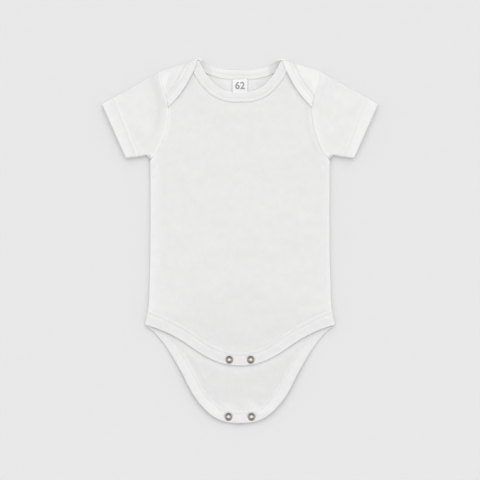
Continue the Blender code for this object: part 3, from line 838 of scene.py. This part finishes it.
def build_binding(layer, band, rib, thread):
    """Cloth folded round an edge: round edges, a plump middle, and two needle rows by its seam."""
    front_leg = (layer.name, band) == ("front", "leg")
    flat, faces = layer.piece(band)
    x, y = flat.T
    from_edge, s = nearest(flat, extended(layer.edges[band]))
    from_seam = distance(flat, layer.seams[band])
    lap = ramp(past_fold(x, y), 0, layer.bend)
    hidden = lap if layer.name == "front" else ramp(np.abs(x), 66, 80) * (band == "leg")
    swell = (binding_swell(from_seam) + BAND_UNEVEN * unevenness(x, y, 21, 6, 20)) * (1 - hidden)
    depth = needle_depth(from_seam, s)
    if (layer.name, band) == ("back", "neck"):
        depth *= np.where(lap < 0.5, INSIDE_DEPTH, 1)
    over = BAND / 2 + swell * (1 - lap) - depth
    under = BAND / 2 + swell * lap - depth
    white = binding_white_and_painted_light(layer.name, band, x, y, from_edge, from_seam, lap)
    if band == "leg":
        from_ring = from_snap(x, y, layer.name)
        below = ramp(SNAPS[layer.name][1] - y, -2, 2)
        # painted highlight on the rim of cloth below the ring, and painted light on the cloth in its hole
        white += RING_EDGE_PAINTED_HIGHLIGHT * below * hump(from_ring, RING_R + 0.6, 0.8)
        white += (RING_HOLE_PAINTED_LIGHT - white) * fall(from_ring, RING_HOLE_R, RING_R)
        pressed = fall(from_ring, RING_R - 0.4, RING_R + 1.7)
        over += (BAND / 2 - RING_PRESS - over) * pressed + HOLE_RISE * fall(from_ring, 1.1, LIP_R + 0.1)
    if front_leg:
        over -= LEG_EDGE_DROP * fall(from_edge, 0.5, 6) * (1 - pressed)
        # painted light where the front's leg binding slopes down to its edge
        white += LEG_EDGE_PAINTED_LIGHT * fall(from_edge, 2, 7) * (1 - pressed)
    edge_round = FRONT_LEG_ROUND if front_leg else EDGE_ROUND
    share = rounded(to_border(flat, faces), np.where(from_seam < from_edge, SEAM_ROUND, edge_round))
    middle = LOW[layer.name](x, y) + BAND / 2
    made = shell(f"{band}_binding_{layer.name}_cloth", flat, faces, middle + over * share,
                 middle - under * share, layer.bend, np.column_stack([s, from_edge]), white, rib)
    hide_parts(f"{band}_binding_{layer.name}")
    sewn = stitches(f"{band}_stitches_{layer.name}", layer, band, thread)
    return made


# ---- stitches ----


def stitch_form():
    """One stitch along X, as points and faces: thread that comes up, lies on the cloth and goes down."""
    around, steps = 6, 5
    points = []
    for t in np.linspace(-1, 1, steps):
        radius = THREAD_R * (0.35 + 0.65 * math.sqrt(max(1 - t**4, 0)))
        rise = -1.1 * THREAD_R * t**4
        for turn in np.arange(around) * 2 * math.pi / around:
            points.append((t * STITCH_LENGTH / 2, radius * math.cos(turn), rise + radius * math.sin(turn)))
    faces = [tuple(range(around))[::-1], tuple(range((steps - 1) * around, steps * around))]
    for k in range(steps - 1):
        for n in range(around):
            a, b = k * around + n, k * around + (n + 1) % around
            faces.append((a, b, b + around, a + around))
    return np.array(points), faces


STITCH_POINTS, STITCH_FACES = stitch_form()


def joined_stitches(name, places, thread):
    """One mesh of stitches. A place is (middle, along, up), three vectors in mm."""
    points, faces = [], []
    for middle, along, up in places:
        along = along / np.linalg.norm(along)
        across = np.cross(up, along)
        across /= np.linalg.norm(across)
        axes = np.vstack([along, across, np.cross(along, across)])
        first = len(points) * len(STITCH_POINTS)
        points.append(middle + STITCH_POINTS @ axes)
        faces += [tuple(first + i for i in face) for face in STITCH_FACES]
    return add_mesh(name, np.vstack(points), faces, thread)


def stitches(name, layer, band, thread):
    """The needle rows of a binding, on its upper side and on its underside."""
    outline = outline_of(layer.name, layer.edges["neck"], layer.edges["leg"])
    places = []
    for row, depth in zip(STITCH_ROWS, ROW_DEPTHS):
        line = layer.line_in(band, row)
        at = np.arange(0, lengths(line)[-1], STITCH_PITCH)
        before, middle, after = (at_lengths(line, at + by) for by in (-0.4, 0, 0.4))
        keep = inside(middle, outline) & (distance(middle, outline) > 1.2)
        if band == "leg":
            keep &= from_snap(*middle.T, layer.name) > RING_R + 0.6
        before, middle, after = before[keep], middle[keep], after[keep]
        lap = ramp(past_fold(*middle.T), 0, layer.bend)
        swell = binding_swell(row)
        over = BAND + swell * (1 - lap) - depth + THREAD_R / 2
        under = np.maximum(depth - THREAD_R / 2, THREAD_R) - swell * lap * (layer.name == "back")
        for level, up_sign in ((over, 1), (under, -1)):
            ends = [
                turned_over(*p.T, LOW[layer.name](*p.T) + level + rise, layer.bend)
                for p, rise in ((before, 0), (middle, 0), (after, 0), (middle, 0.1 * up_sign))
            ]
            places += list(zip(ends[1], ends[2] - ends[0], ends[3] - ends[1]))
    return joined_stitches(name, places, thread)


# ---- sleeves ----


SLEEVE_R = np.r_[0, 0.004, 0.009, 0.016, np.linspace(0.03, 1, 58)]
HEM_R = np.r_[np.linspace(0, 1, 14)[1:-1], 0.965, 0.982, 0.992, 1]
SLEEVE_RINGS = (*SLEEVE_R, *(1 + HEM_R))  # from the seam at 0 past the hem's upper end at 1 to its edge at 2
ACROSS = 64
EDGE_TURNS = np.linspace(0, math.pi / 2, 7)[:-1]
SLEEVE_HEIGHT = 4.2  # of the flattened tube, above the floor
HEM_HEIGHT = 5.2
FOLD_WIDTH = 1.4  # the tube's two long folds are sharper than half round

ARM_WHOLE = np.vstack([smooth(ARMHOLE), smooth(LAP_ARMHOLE)[1:], [SHOULDER_TIP]])[::-1]
SLEEVE_SEAM = moved_left(ARM_WHOLE, -SLEEVE_TUCK)
SLEEVE_SEAM[0] = SHOULDER_TIP - ALONG_SHOULDER * SLEEVE_TUCK
UNDERARM_LINE = np.vstack([SLEEVE_SEAM[-1:], smooth(UNDERARM)[1:]])


def sleeve_points(r, q):
    """Where the places at share r from seam to hem and q from top fold to underarm lie, for one r."""
    seam = SLEEVE_SEAM
    q = np.asarray(q)[:, None]
    if r > 1:
        start, end = HEM_TOP + (HEM_EDGE - HEM_TOP) * (r - 1)
        return start + (end - start) * q
    top = np.array([seam[0], HEM_TOP[0]])
    across = (1 - r) * along_line(seam, q[:, 0]) + r * along_line(HEM_TOP, q[:, 0])
    outwards = (1 - q) * along_line(top, np.array([r])) + q * along_line(UNDERARM_LINE, np.array([r]))
    start, end = (1 - r) * seam[0] + r * HEM_TOP[0], (1 - r) * seam[-1] + r * HEM_TOP[1]
    return across + outwards - (1 - q) * start - q * end


def sleeve_height(r, q, plane, from_arm):
    """Height of the sleeve's top above the floor."""
    if r > 1:
        return np.full(len(q), HEM_HEIGHT)
    at_seam = front_low(*plane.T) + WALL
    lap_top = STACK - lap_drop(-past_fold(*plane.T))
    at_seam = at_seam + (lap_top - 2 * SLOT - WALL) * fall(q, *LAP_SPAN) - 0.05
    level = SLEEVE_HEIGHT + (HEM_HEIGHT - SLEEVE_HEIGHT) * ramp(r, 0.4, 1)
    return level + (at_seam - level) * fall(from_arm, 0, 11)


# Soft ridges and troughs of the sleeve, in the frame of the left one
SLEEVE_CREASES = (
    (104, 158, 76, 56, 5.0, -0.7, -4),
    (112, 128, 40, 44, 6.0, 0.35, 4),
    (122, 140, 34, 40, 7.0, -0.30, 3),
    (128, 156, 20, 40, 7.0, 0.30, -3),
    (114, 112, 52, 30, 4.0, -0.35, 3),
    (138, 132, 62, 40, 5.0, 0.25, 3),
)
# Of the sleeve at X < 0 and of the one at X > 0
TROUGH_DEPTH = (1.6, 0.6)  # against a plain trough beside the armhole
HEM_FADE = (0.35, 0.12)  # how much less white the hem is away from its edge
# painted highlight on the ridge at the hem's upper end
HEM_END_PAINTED_HIGHLIGHT = (0.50, 0.10)
# painted shade in the hem's needle row
HEM_ROW_SHADE = (0.15, 0.30)


def sleeve_relief(side, plane, q, from_arm, to_hem):
    """How far the sleeve's upper side is lifted from its plain form."""
    x, y = plane.T
    trough = (0.15 + 0.50 * fall(q, 0.55, 0.9)) * by_side(side, TROUGH_DEPTH)
    relief = 0.38 * hump(from_arm, 1.3, 0.9) - trough * hump(from_arm, 10, 5)
    fade = ramp(from_arm, 4, 14) * fall(to_hem, -8, 0)
    relief += fade * (0.16 * unevenness(x, y, 31 + (side > 0), 18, 50) + crease_height(x, y, SLEEVE_CREASES))
    return relief + 0.40 * hump(to_hem, -0.4, 0.9) - 0.28 * hump(to_hem, HEM_STITCH, 0.6)


def sleeve_white_and_painted_light(side, q, from_arm, from_end, to_hem):
    """How white the sleeve is painted: whitest where its hem and its seam turnings double the cloth, with
    painted highlights on ridges and painted shade in grooves and hollows.
    """
    hem = HEM_WHITE - by_side(side, HEM_FADE) * ramp(from_end, 1, 12)
    white = SLEEVE_WHITE + (hem - SLEEVE_WHITE) * ramp(to_hem, -0.6, 0.6)
    # painted highlight on the ridge at the hem's upper end, and painted shade in its needle row
    white += by_side(side, HEM_END_PAINTED_HIGHLIGHT) * hump(to_hem, -0.4, 1.1)
    white -= by_side(side, HEM_ROW_SHADE) * hump(to_hem, HEM_STITCH, 0.6)
    if side < 0:
        # whiter over the seam turnings, with a painted highlight on the ridge beside the seam
        white += 0.12 * fall(from_arm, 1, 8) + 0.85 * hump(from_arm, 1.0, 0.8) - 0.05
        # painted shade in the trough beside the armhole
        white -= 0.45 * hump(from_arm, 10.5, 4.5) * fall(q, 0.5, 0.9)
    else:
        white += 0.24 * fall(from_arm, 5, 8)
    # painted shade of the hollow under the arm
    return white - NOTCH_SHADE * fall(from_arm, 3, 7) * ramp(q, 0.95, 0.985)


def build_sleeve(name, side, jersey):
    """A flattened tube, open at the armhole and the hem, whose wall is doubled at the hem."""
    hem_line, hem_edge = (along_line(line, np.linspace(0, 1, 40)) for line in (HEM_TOP, HEM_EDGE))
    turned = 1 - np.cos(EDGE_TURNS)
    swell = np.r_[np.sin(EDGE_TURNS), np.ones(ACROSS), np.sin(EDGE_TURNS[::-1])]
    outer, inner, cloth, white = [], [], [], []
    for r in SLEEVE_RINGS:
        reach = lengths(sleeve_points(r, np.linspace(0, 1, 30)))[-1]
        middle = np.linspace(FOLD_WIDTH, reach - FOLD_WIDTH, ACROSS)
        across = np.r_[FOLD_WIDTH * turned, middle, reach - FOLD_WIDTH * turned[::-1]]
        q = across / reach
        plane = sleeve_points(r, q)
        from_arm = distance(plane, SLEEVE_SEAM)
        from_end = distance(plane, hem_edge)
        to_hem = distance(plane, hem_line) * (1 if r > 1 else -1)
        wall = WALL + (HEM_WALL - WALL) * ramp(to_hem, -0.6, 0.6)
        turn = np.minimum(rounded(from_arm, PANEL_ROUND), rounded(from_end, HEM_WALL / 2))
        relief = sleeve_relief(side, plane, q, from_arm, to_hem) * swell**0.5 * ramp(from_end, 0, 1)
        half = sleeve_height(r, q, plane, from_arm) / 2
        for inset, loop in ((wall / 2 * (1 - turn), outer), (wall - wall / 2 * (1 - turn), inner)):
            grow = np.maximum(half - inset, 0.05)
            places = inset_ends(plane, inset, swell)
            under = np.column_stack([places, half - grow * swell])
            over = np.column_stack([places, half + grow * swell + relief])
            loop.append(np.vstack([under, over[-2:0:-1]]))
        row = np.column_stack([across, from_arm])
        cloth.append(np.vstack([row, row[-2:0:-1]]))
        shade = sleeve_white_and_painted_light(side, q, from_arm, from_end, to_hem)
        # painted shade along the sleeve's top fold, next to its outline
        shade = shade - FOLD_SHADE * fall(across, *SHADE_SPAN)
        white.append(np.r_[shade, shade[-2:0:-1]])
    points = np.vstack(outer + inner)
    points[:, 0] *= side
    made = add_mesh(name, points, tube_faces(len(outer), len(outer[0])), jersey)
    write_cloth(made, np.vstack(cloth + cloth), np.concatenate(white + white))
    face_outwards(made)
    return made


def tube_faces(rings, around):
    """Faces of an outer tube and of the inner one that follows it."""
    faces = []
    for shift, flip in ((0, 1), (rings * around, -1)):
        for ring in range(rings - 1):
            for k in range(around):
                a, b = shift + ring * around + k, shift + ring * around + (k + 1) % around
                faces.append((a, b, b + around, a + around)[::flip])
    return faces


def inset_ends(plane, inset, swell):
    """The tube's inner wall keeps clear of its two long folds: points there move inwards by the inset."""
    towards = plane[len(plane) // 2] - plane
    towards /= np.maximum(np.linalg.norm(towards, axis=1), 1e-9)[:, None]
    return plane + towards * (inset * (1 - swell))[:, None]


def sleeve_stitches(name, side, thread):
    width = math.dist(*HEM_TOP)
    q = np.arange(2.5, width - 2.5, STITCH_PITCH) / width
    line = sleeve_points(1 + HEM_STITCH / math.dist(HEM_TOP[0], HEM_EDGE[0]), q)
    along = np.array([*(line[-1] - line[0]), 0.0]) * (side, 1, 1)
    places = []
    for height, up in ((HEM_HEIGHT - 0.12, (0, 0, 1.0)), (THREAD_R, (0, 0, -1.0))):
        places += [(np.array((side * x, y, height)), along, np.array(up)) for x, y in line]
    return joined_stitches(name, places, thread)


# ---- label and snaps ----


LABEL_THICK = 0.5
LABEL_LIFT = CLOTH + GAP + 0.55
LABEL_BOW = 0.35
NUMBER_SIZE = 11.5
NUMBER_FROM_TOP = 7.6
NUMBER_BOLD = 0.22  # how much the figures are thickened
NUMBER_DEPTH = 0.03
RING_PRESS = 0.3  # how deep a ring is pressed into the cloth
RING_RISE = (0.35, 1.05)  # where a ring's round top starts, and its rise
SOCKET_R = (1.6, 4.1)
SOCKET_SIDE = 0.2


def build_label(satin, ink):
    """The ribbon in the seam of the back's neck binding, with a plain size number."""
    top = BACK_NECK[0][1] - NECK_BAND["back"]
    columns, rows = 19, 28
    flat, faces = [], []
    for j in range(rows + 1):
        y = top - LABEL_LENGTH * j / rows
        flat += [((i / columns - 0.5) * LABEL_WIDTH, y) for i in range(columns + 1)]
    for j in range(rows):
        for i in range(columns):
            a = j * (columns + 1) + i
            faces += [(a, a + columns + 1, a + columns + 2), (a, a + columns + 2, a + 1)]
    flat, faces = np.array(flat), np.array(faces)
    x, y = flat.T
    middle = LABEL_LIFT + LABEL_BOW * np.cos(x / LABEL_WIDTH * math.pi) + 0.2 * np.sin(y / 7)
    half = LABEL_THICK / 2 * np.maximum(rounded(to_border(flat, faces), LABEL_THICK / 2), 0.5)
    made = shell("label", flat, faces, middle + half, middle - half, BEND["back"], flat, np.ones(len(flat)),
                 satin)
    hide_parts("neck_label")
    number = size_number(ink, top - NUMBER_FROM_TOP, LABEL_LIFT + LABEL_BOW + LABEL_THICK / 2 + 0.22)
    return made


def size_number(ink, y, z):
    """The garment's size, printed on its label."""
    text = bpy.data.curves.new("size_number", "FONT")
    text.body = "62"
    text.size = NUMBER_SIZE * MM
    text.offset = NUMBER_BOLD * MM
    text.align_x, text.align_y = "CENTER", "CENTER"
    text.extrude = NUMBER_DEPTH * MM
    made = placed("size_number", text)
    bpy.context.view_layer.update()
    mesh = bpy.data.meshes.new_from_object(made.evaluated_get(bpy.context.evaluated_depsgraph_get()))
    bpy.data.objects.remove(made)
    printed = placed("size_number", mesh)
    printed.data.materials.append(ink)
    printed.location = (0, (y + SLIDE_Y) * MM, z * MM)
    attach(printed, "root")
    return printed


def turned_metal(name, x, y, profile, metal):
    """A closed profile of (radius, height), turned round an upright axis."""
    steps, count = 56, len(profile)
    points, faces = [], []
    for k in range(steps):
        angle = 2 * math.pi * k / steps
        points += [(x + r * math.cos(angle), y + r * math.sin(angle), height) for r, height in profile]
        after = (k + 1) % steps * count
        for n in range(count):
            faces.append((k * count + n, k * count + (n + 1) % count, after + (n + 1) % count, after + n))
    made = add_mesh(name, points, faces, metal)
    face_outwards(made)
    return made


def build_ring(name, layer, side, metal):
    """An open ring with a round top and a rolled inner lip, pressed into the cloth."""
    x, y = SNAPS[layer]
    base = float(LOW[layer](np.array([x]), np.array([y]))[0]) + BAND - RING_PRESS
    half = (RING_R - LIP_R) / 2
    start, rise = RING_RISE
    profile = [(LIP_R + 0.15, base), (RING_R - 0.15, base)]
    for turn in np.linspace(0, math.pi, 15):
        profile.append((LIP_R + half + half * math.cos(turn), base + start + rise * math.sin(turn)))
    return turned_metal(name, side * x, y, profile, metal)


def build_socket(name, side, metal):
    """The hidden half under a front snap: a low flange with a round rim."""
    x, y = SNAPS["front"]
    base = CLOTH + GAP
    inner, outer = SOCKET_R
    profile = [(inner, base), (outer, base)]
    for turn in np.linspace(0, math.pi, 9):
        rise = SOCKET_SIDE + (SOCKET_HEIGHT - SOCKET_SIDE) * math.sin(turn) ** 0.5
        profile.append(((inner + outer) / 2 + (outer - inner) / 2 * math.cos(turn), base + rise))
    return turned_metal(name, side * x, y, profile, metal)


# ---- materials ----


class Nodes:
    """The node tree of a material or a world, with its shader and short ways to add nodes."""

    def __init__(self, owner, shader="Principled BSDF"):
        self.owner = owner
        owner.use_nodes = True
        self.tree = owner.node_tree
        self.shader = self.tree.nodes[shader]

    def add(self, kind, settings=(), inputs=()):
        made = self.tree.nodes.new(kind)
        for key, value in dict(settings).items():
            setattr(made, key, value)
        for key, value in dict(inputs).items():
            self.join(value, made.inputs[key])
        return made

    def join(self, value, socket):
        if isinstance(value, bpy.types.NodeSocket):
            self.tree.links.new(value, socket)
        else:
            socket.default_value = value

    def maths(self, operation, *values):
        return self.add("ShaderNodeMath", {"operation": operation}, enumerate(values)).outputs[0]

    def times(self, one, two):
        return self.maths("MULTIPLY", one, two)

    def wave(self, value, length):
        """A sine of the value, whose waves have the length."""
        return self.maths("SINE", self.times(value, 2 * math.pi / length))

    def noise(self, vector, scale, detail=3.0, roughness=0.5):
        inputs = {"Vector": vector, "Scale": scale, "Detail": detail, "Roughness": roughness}
        return self.add("ShaderNodeTexNoise", {}, inputs).outputs["Fac"]

    def on_cloth(self):
        """Where a point is on the flat cloth, in metres."""
        return self.add("ShaderNodeAttribute", {"attribute_name": "cloth"}).outputs["Vector"]

    def on_piece(self):
        return self.add("ShaderNodeTexCoord").outputs["Object"]

    def axes(self, vector):
        return self.add("ShaderNodeSeparateXYZ", {}, {"Vector": vector}).outputs

    def between(self, share, low, high):
        """A number between low and high."""
        inputs = {"Value": share, "To Min": low, "To Max": high}
        return self.add("ShaderNodeMapRange", {}, inputs).outputs["Result"]

    def eased(self, value, start, end, low, high):
        """A number that goes smoothly from low to high as the value goes from start to end."""
        settings = {"interpolation_type": "SMOOTHSTEP"}
        inputs = {"Value": value, "From Min": start, "From Max": end, "To Min": low, "To Max": high}
        return self.add("ShaderNodeMapRange", settings, inputs).outputs["Result"]

    def drift(self, share, low, high, rough):
        """Lets the colour and the roughness drift between two values each."""
        mixed = self.add("ShaderNodeMix", {"data_type": "RGBA"})
        for number, value in ((0, share), (6, (*low, 1)), (7, (*high, 1))):
            self.join(value, mixed.inputs[number])
        self.set("Base Color", mixed.outputs[2])
        self.set("Roughness", self.between(share, *rough))

    def bump(self, height, depth):
        """Relief from a height of about -1 to 1, with its depth in mm."""
        inputs = {"Height": height, "Distance": depth * MM}
        self.set("Normal", self.add("ShaderNodeBump", {}, inputs).outputs["Normal"])

    def set(self, name, value):
        self.join(value, self.shader.inputs[name])


OFF_WHITE = (1.001, 0.999, 0.9965)
THIN = 0.790  # how light the cloth is where its whiteness is 0
THICK = 0.890  # and where it is 1


def knit(name, wale, course, depth, slub):
    """Cotton knit: columns of V-shaped loops in the cloth's own directions, whiter where layers double, and
    carrying the painted light and shade that each point's whiteness holds.
    """
    n = Nodes(bpy.data.materials.new(name))
    place = n.on_cloth()
    whiteness = n.add("ShaderNodeAttribute", {"attribute_name": "whiteness"}).outputs["Fac"]
    split = n.axes(place)
    wander = n.noise(place, 700.0)
    column = n.maths("ADD", n.times(split["X"], 1 / (wale * MM)), n.times(wander, 0.6))
    from_middle = n.maths("PINGPONG", column, 0.5)
    lean = n.times(from_middle, 1.4)
    row = n.maths("ADD", n.times(split["Y"], 1 / (course * MM)), lean)
    yarn = n.maths("MULTIPLY_ADD", n.wave(row, 1), 0.3, n.times(n.wave(from_middle, 1), 0.7))
    uneven = n.noise(place, 320.0, detail=4.0, roughness=0.6)
    fuzz = n.noise(place, 2600.0, detail=2.0)
    height = n.maths("ADD", n.times(yarn, 0.5), n.times(uneven, slub))
    n.bump(n.maths("ADD", height, n.times(fuzz, 0.5)), depth)
    level = n.maths("MULTIPLY_ADD", whiteness, THICK - THIN, THIN)
    shade = n.between(n.noise(place, 120.0, detail=5.0, roughness=0.6), 0.958, 1.038)
    level = n.times(level, n.times(shade, n.between(uneven, 0.99, 1.01)))
    tint = n.add("ShaderNodeVectorMath", {"operation": "SCALE"}, {0: OFF_WHITE, "Scale": level})
    n.set("Base Color", tint.outputs[0])
    n.set("Roughness", n.between(uneven, 0.84, 0.97))
    n.set("Sheen Weight", 0.15)
    n.set("Sheen Roughness", 0.45)
    n.set("Specular IOR Level", 0.2)
    return n.owner


def satin_ribbon():
    n = Nodes(bpy.data.materials.new("white_satin"))
    place = n.on_cloth()
    split = n.axes(place)
    n.bump(n.maths("ADD", n.wave(split["X"], 0.0004), n.wave(split["Y"], 0.0009)), 0.02)
    n.drift(n.noise(place, 240.0), (0.955, 0.955, 0.955), (0.975, 0.975, 0.975), (0.45, 0.6))
    n.set("Sheen Weight", 0.1)
    return n.owner


def size_ink():
    n = Nodes(bpy.data.materials.new("grey_ink"))
    n.drift(n.noise(n.on_piece(), 1500.0), (0.30, 0.30, 0.31), (0.42, 0.42, 0.43), (0.6, 0.8))
    return n.owner


def sewing_thread():
    n = Nodes(bpy.data.materials.new("white_thread"))
    place = n.on_piece()
    split = n.axes(place)
    n.bump(n.wave(n.maths("ADD", split["X"], split["Y"]), 0.0003), 0.03)
    n.drift(n.noise(place, 900.0), (0.84, 0.84, 0.835), (0.90, 0.90, 0.895), (0.6, 0.8))
    n.set("Sheen Weight", 0.15)
    return n.owner


def nickel_plate():
    n = Nodes(bpy.data.materials.new("nickel_plate"))
    place = n.on_piece()
    n.bump(n.noise(place, 2400.0), 0.01)
    n.drift(n.noise(place, 420.0, detail=6.0), (0.42, 0.40, 0.365), (0.53, 0.51, 0.47), (0.08, 0.20))
    n.set("Metallic", 1.0)
    return n.owner


def floor_paper():
    n = Nodes(bpy.data.materials.new("pale_paper"))
    place = n.on_piece()
    n.bump(n.noise(place, 900.0), 0.02)
    n.drift(n.noise(place, 60.0, detail=6.0), (0.802, 0.799, 0.799), (0.808, 0.805, 0.805), (0.85, 0.95))
    n.set("Specular IOR Level", 0.1)
    return n.owner


# ---- the stage ----

FLOOR_SIDE = 9.0
VIEW_WIDTH = 0.552  # the photograph's width, at the height of the cloth
VIEW_HEIGHT = 0.003
LENS = 85.0
SENSOR = 36.0
VIEW_CENTRE = (0.0, 0.0012)
KEY = 1.72
KEY_SPREAD = 64.0
KEY_ELEVATION = 42.0
KEY_AZIMUTH = 3.0  # degrees from +Y towards +X

# The studio's walls and ceiling. Each row is a span of a direction's part along an axis, and what it is
# at the span's start and end: how much dimmer, but RAISED limits this to what is above the floor
DOME = 0.69
RAISED = (0.10, 0.30, 0, 1)
TO_KEY = (0.1, 0.6, 0, 0.72)
OVERHEAD = (0.93, 0.985, 0, 0.45)
AWAY = (-0.7, -0.2, 0.25, 0)
SIDEWAYS = (0.35, 0.8, 0, 0.7)  # how much brighter


def build_stage():
    half = FLOOR_SIDE / 2
    mesh = bpy.data.meshes.new("floor")
    corners = [(-half, -half, 0), (half, -half, 0), (half, half, 0), (-half, half, 0)]
    mesh.from_pydata(corners, [], [(0, 1, 2, 3)])
    mesh.materials.append(floor_paper())
    floor = placed("floor", mesh)


def studio_light(world):
    """The studio's walls and ceiling: dimmer towards +Y, where the key light stands, and straight above."""
    n = Nodes(world, "Background")
    split = n.axes(n.add("ShaderNodeTexCoord").outputs["Generated"])
    dimmed = n.maths("ADD", n.eased(split["Z"], *OVERHEAD), n.eased(split["Y"], *AWAY))
    dimmed = n.maths("ADD", n.eased(split["Y"], *TO_KEY), dimmed)
    dimmed = n.times(n.eased(split["Z"], *RAISED), dimmed)
    sides = n.eased(n.maths("ABSOLUTE", split["X"]), *SIDEWAYS)
    level = n.maths("ADD", n.maths("SUBTRACT", 1.0, dimmed), sides)
    n.set("Strength", n.times(level, DOME))
    n.set("Color", (1, 1, 1, 1))


def build_lights():
    scene = bpy.context.scene
    scene.world = bpy.data.worlds.new("studio")
    studio_light(scene.world)
    sun = bpy.data.lights.new("key", "SUN")
    sun.energy = KEY
    sun.angle = math.radians(KEY_SPREAD)
    lamp = placed("key", sun)
    elevation, azimuth = math.radians(KEY_ELEVATION), math.radians(KEY_AZIMUTH)
    towards = Vector((math.sin(azimuth), math.cos(azimuth), math.tan(elevation)))
    lamp.rotation_euler = towards.to_track_quat("Z", "Y").to_euler()
    lamp.visible_glossy = False
    scene.view_settings.view_transform = "Standard"


def build_camera():
    data = bpy.data.cameras.new("camera")
    data.lens, data.sensor_width = LENS, SENSOR
    camera = placed("camera", data)
    camera.location = (*VIEW_CENTRE, VIEW_HEIGHT + VIEW_WIDTH * LENS / SENSOR)
    bpy.context.scene.camera = camera


def build_side(hand, side, jersey, thread, nickel):
    """One of the two sleeves, and the snaps on its side of the crotch."""
    sleeve = build_sleeve(f"sleeve_{hand}_cloth", side, jersey)
    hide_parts(f"sleeve_{hand}")
    sewn = sleeve_stitches(f"hem_stitches_{hand}", side, thread)
    for layer in ("front", "back"):
        ring = build_ring(f"ring_{layer}_{hand}", layer, side, nickel)
        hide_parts(f"snap_ring_{layer}_{hand}")
    socket = build_socket(f"socket_{hand}", side, nickel)
    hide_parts(f"snap_socket_{hand}")
    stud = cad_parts[f"snap_stud_{hand}"]
    stud.data.materials.clear()
    stud.data.materials.append(nickel)


def main():
    build_camera()
    build_lights()
    build_stage()
    jersey = knit("white_jersey", 0.9, 0.75, 0.10, 1.2)
    rib = knit("white_rib", 1.3, 0.8, 0.12, 1.0)
    thread = sewing_thread()
    nickel = nickel_plate()
    layers = [Layer("front", FRONT_NECK, FRONT_LEG), Layer("back", BACK_NECK, BACK_LEG)]
    for layer in layers:
        build_panel(layer, jersey)
        for band in ("neck", "leg"):
            build_binding(layer, band, rib, thread)
    build_side("left", 1, jersey, thread, nickel)
    build_side("right", -1, jersey, thread, nickel)
    build_label(satin_ribbon(), size_ink())


main()
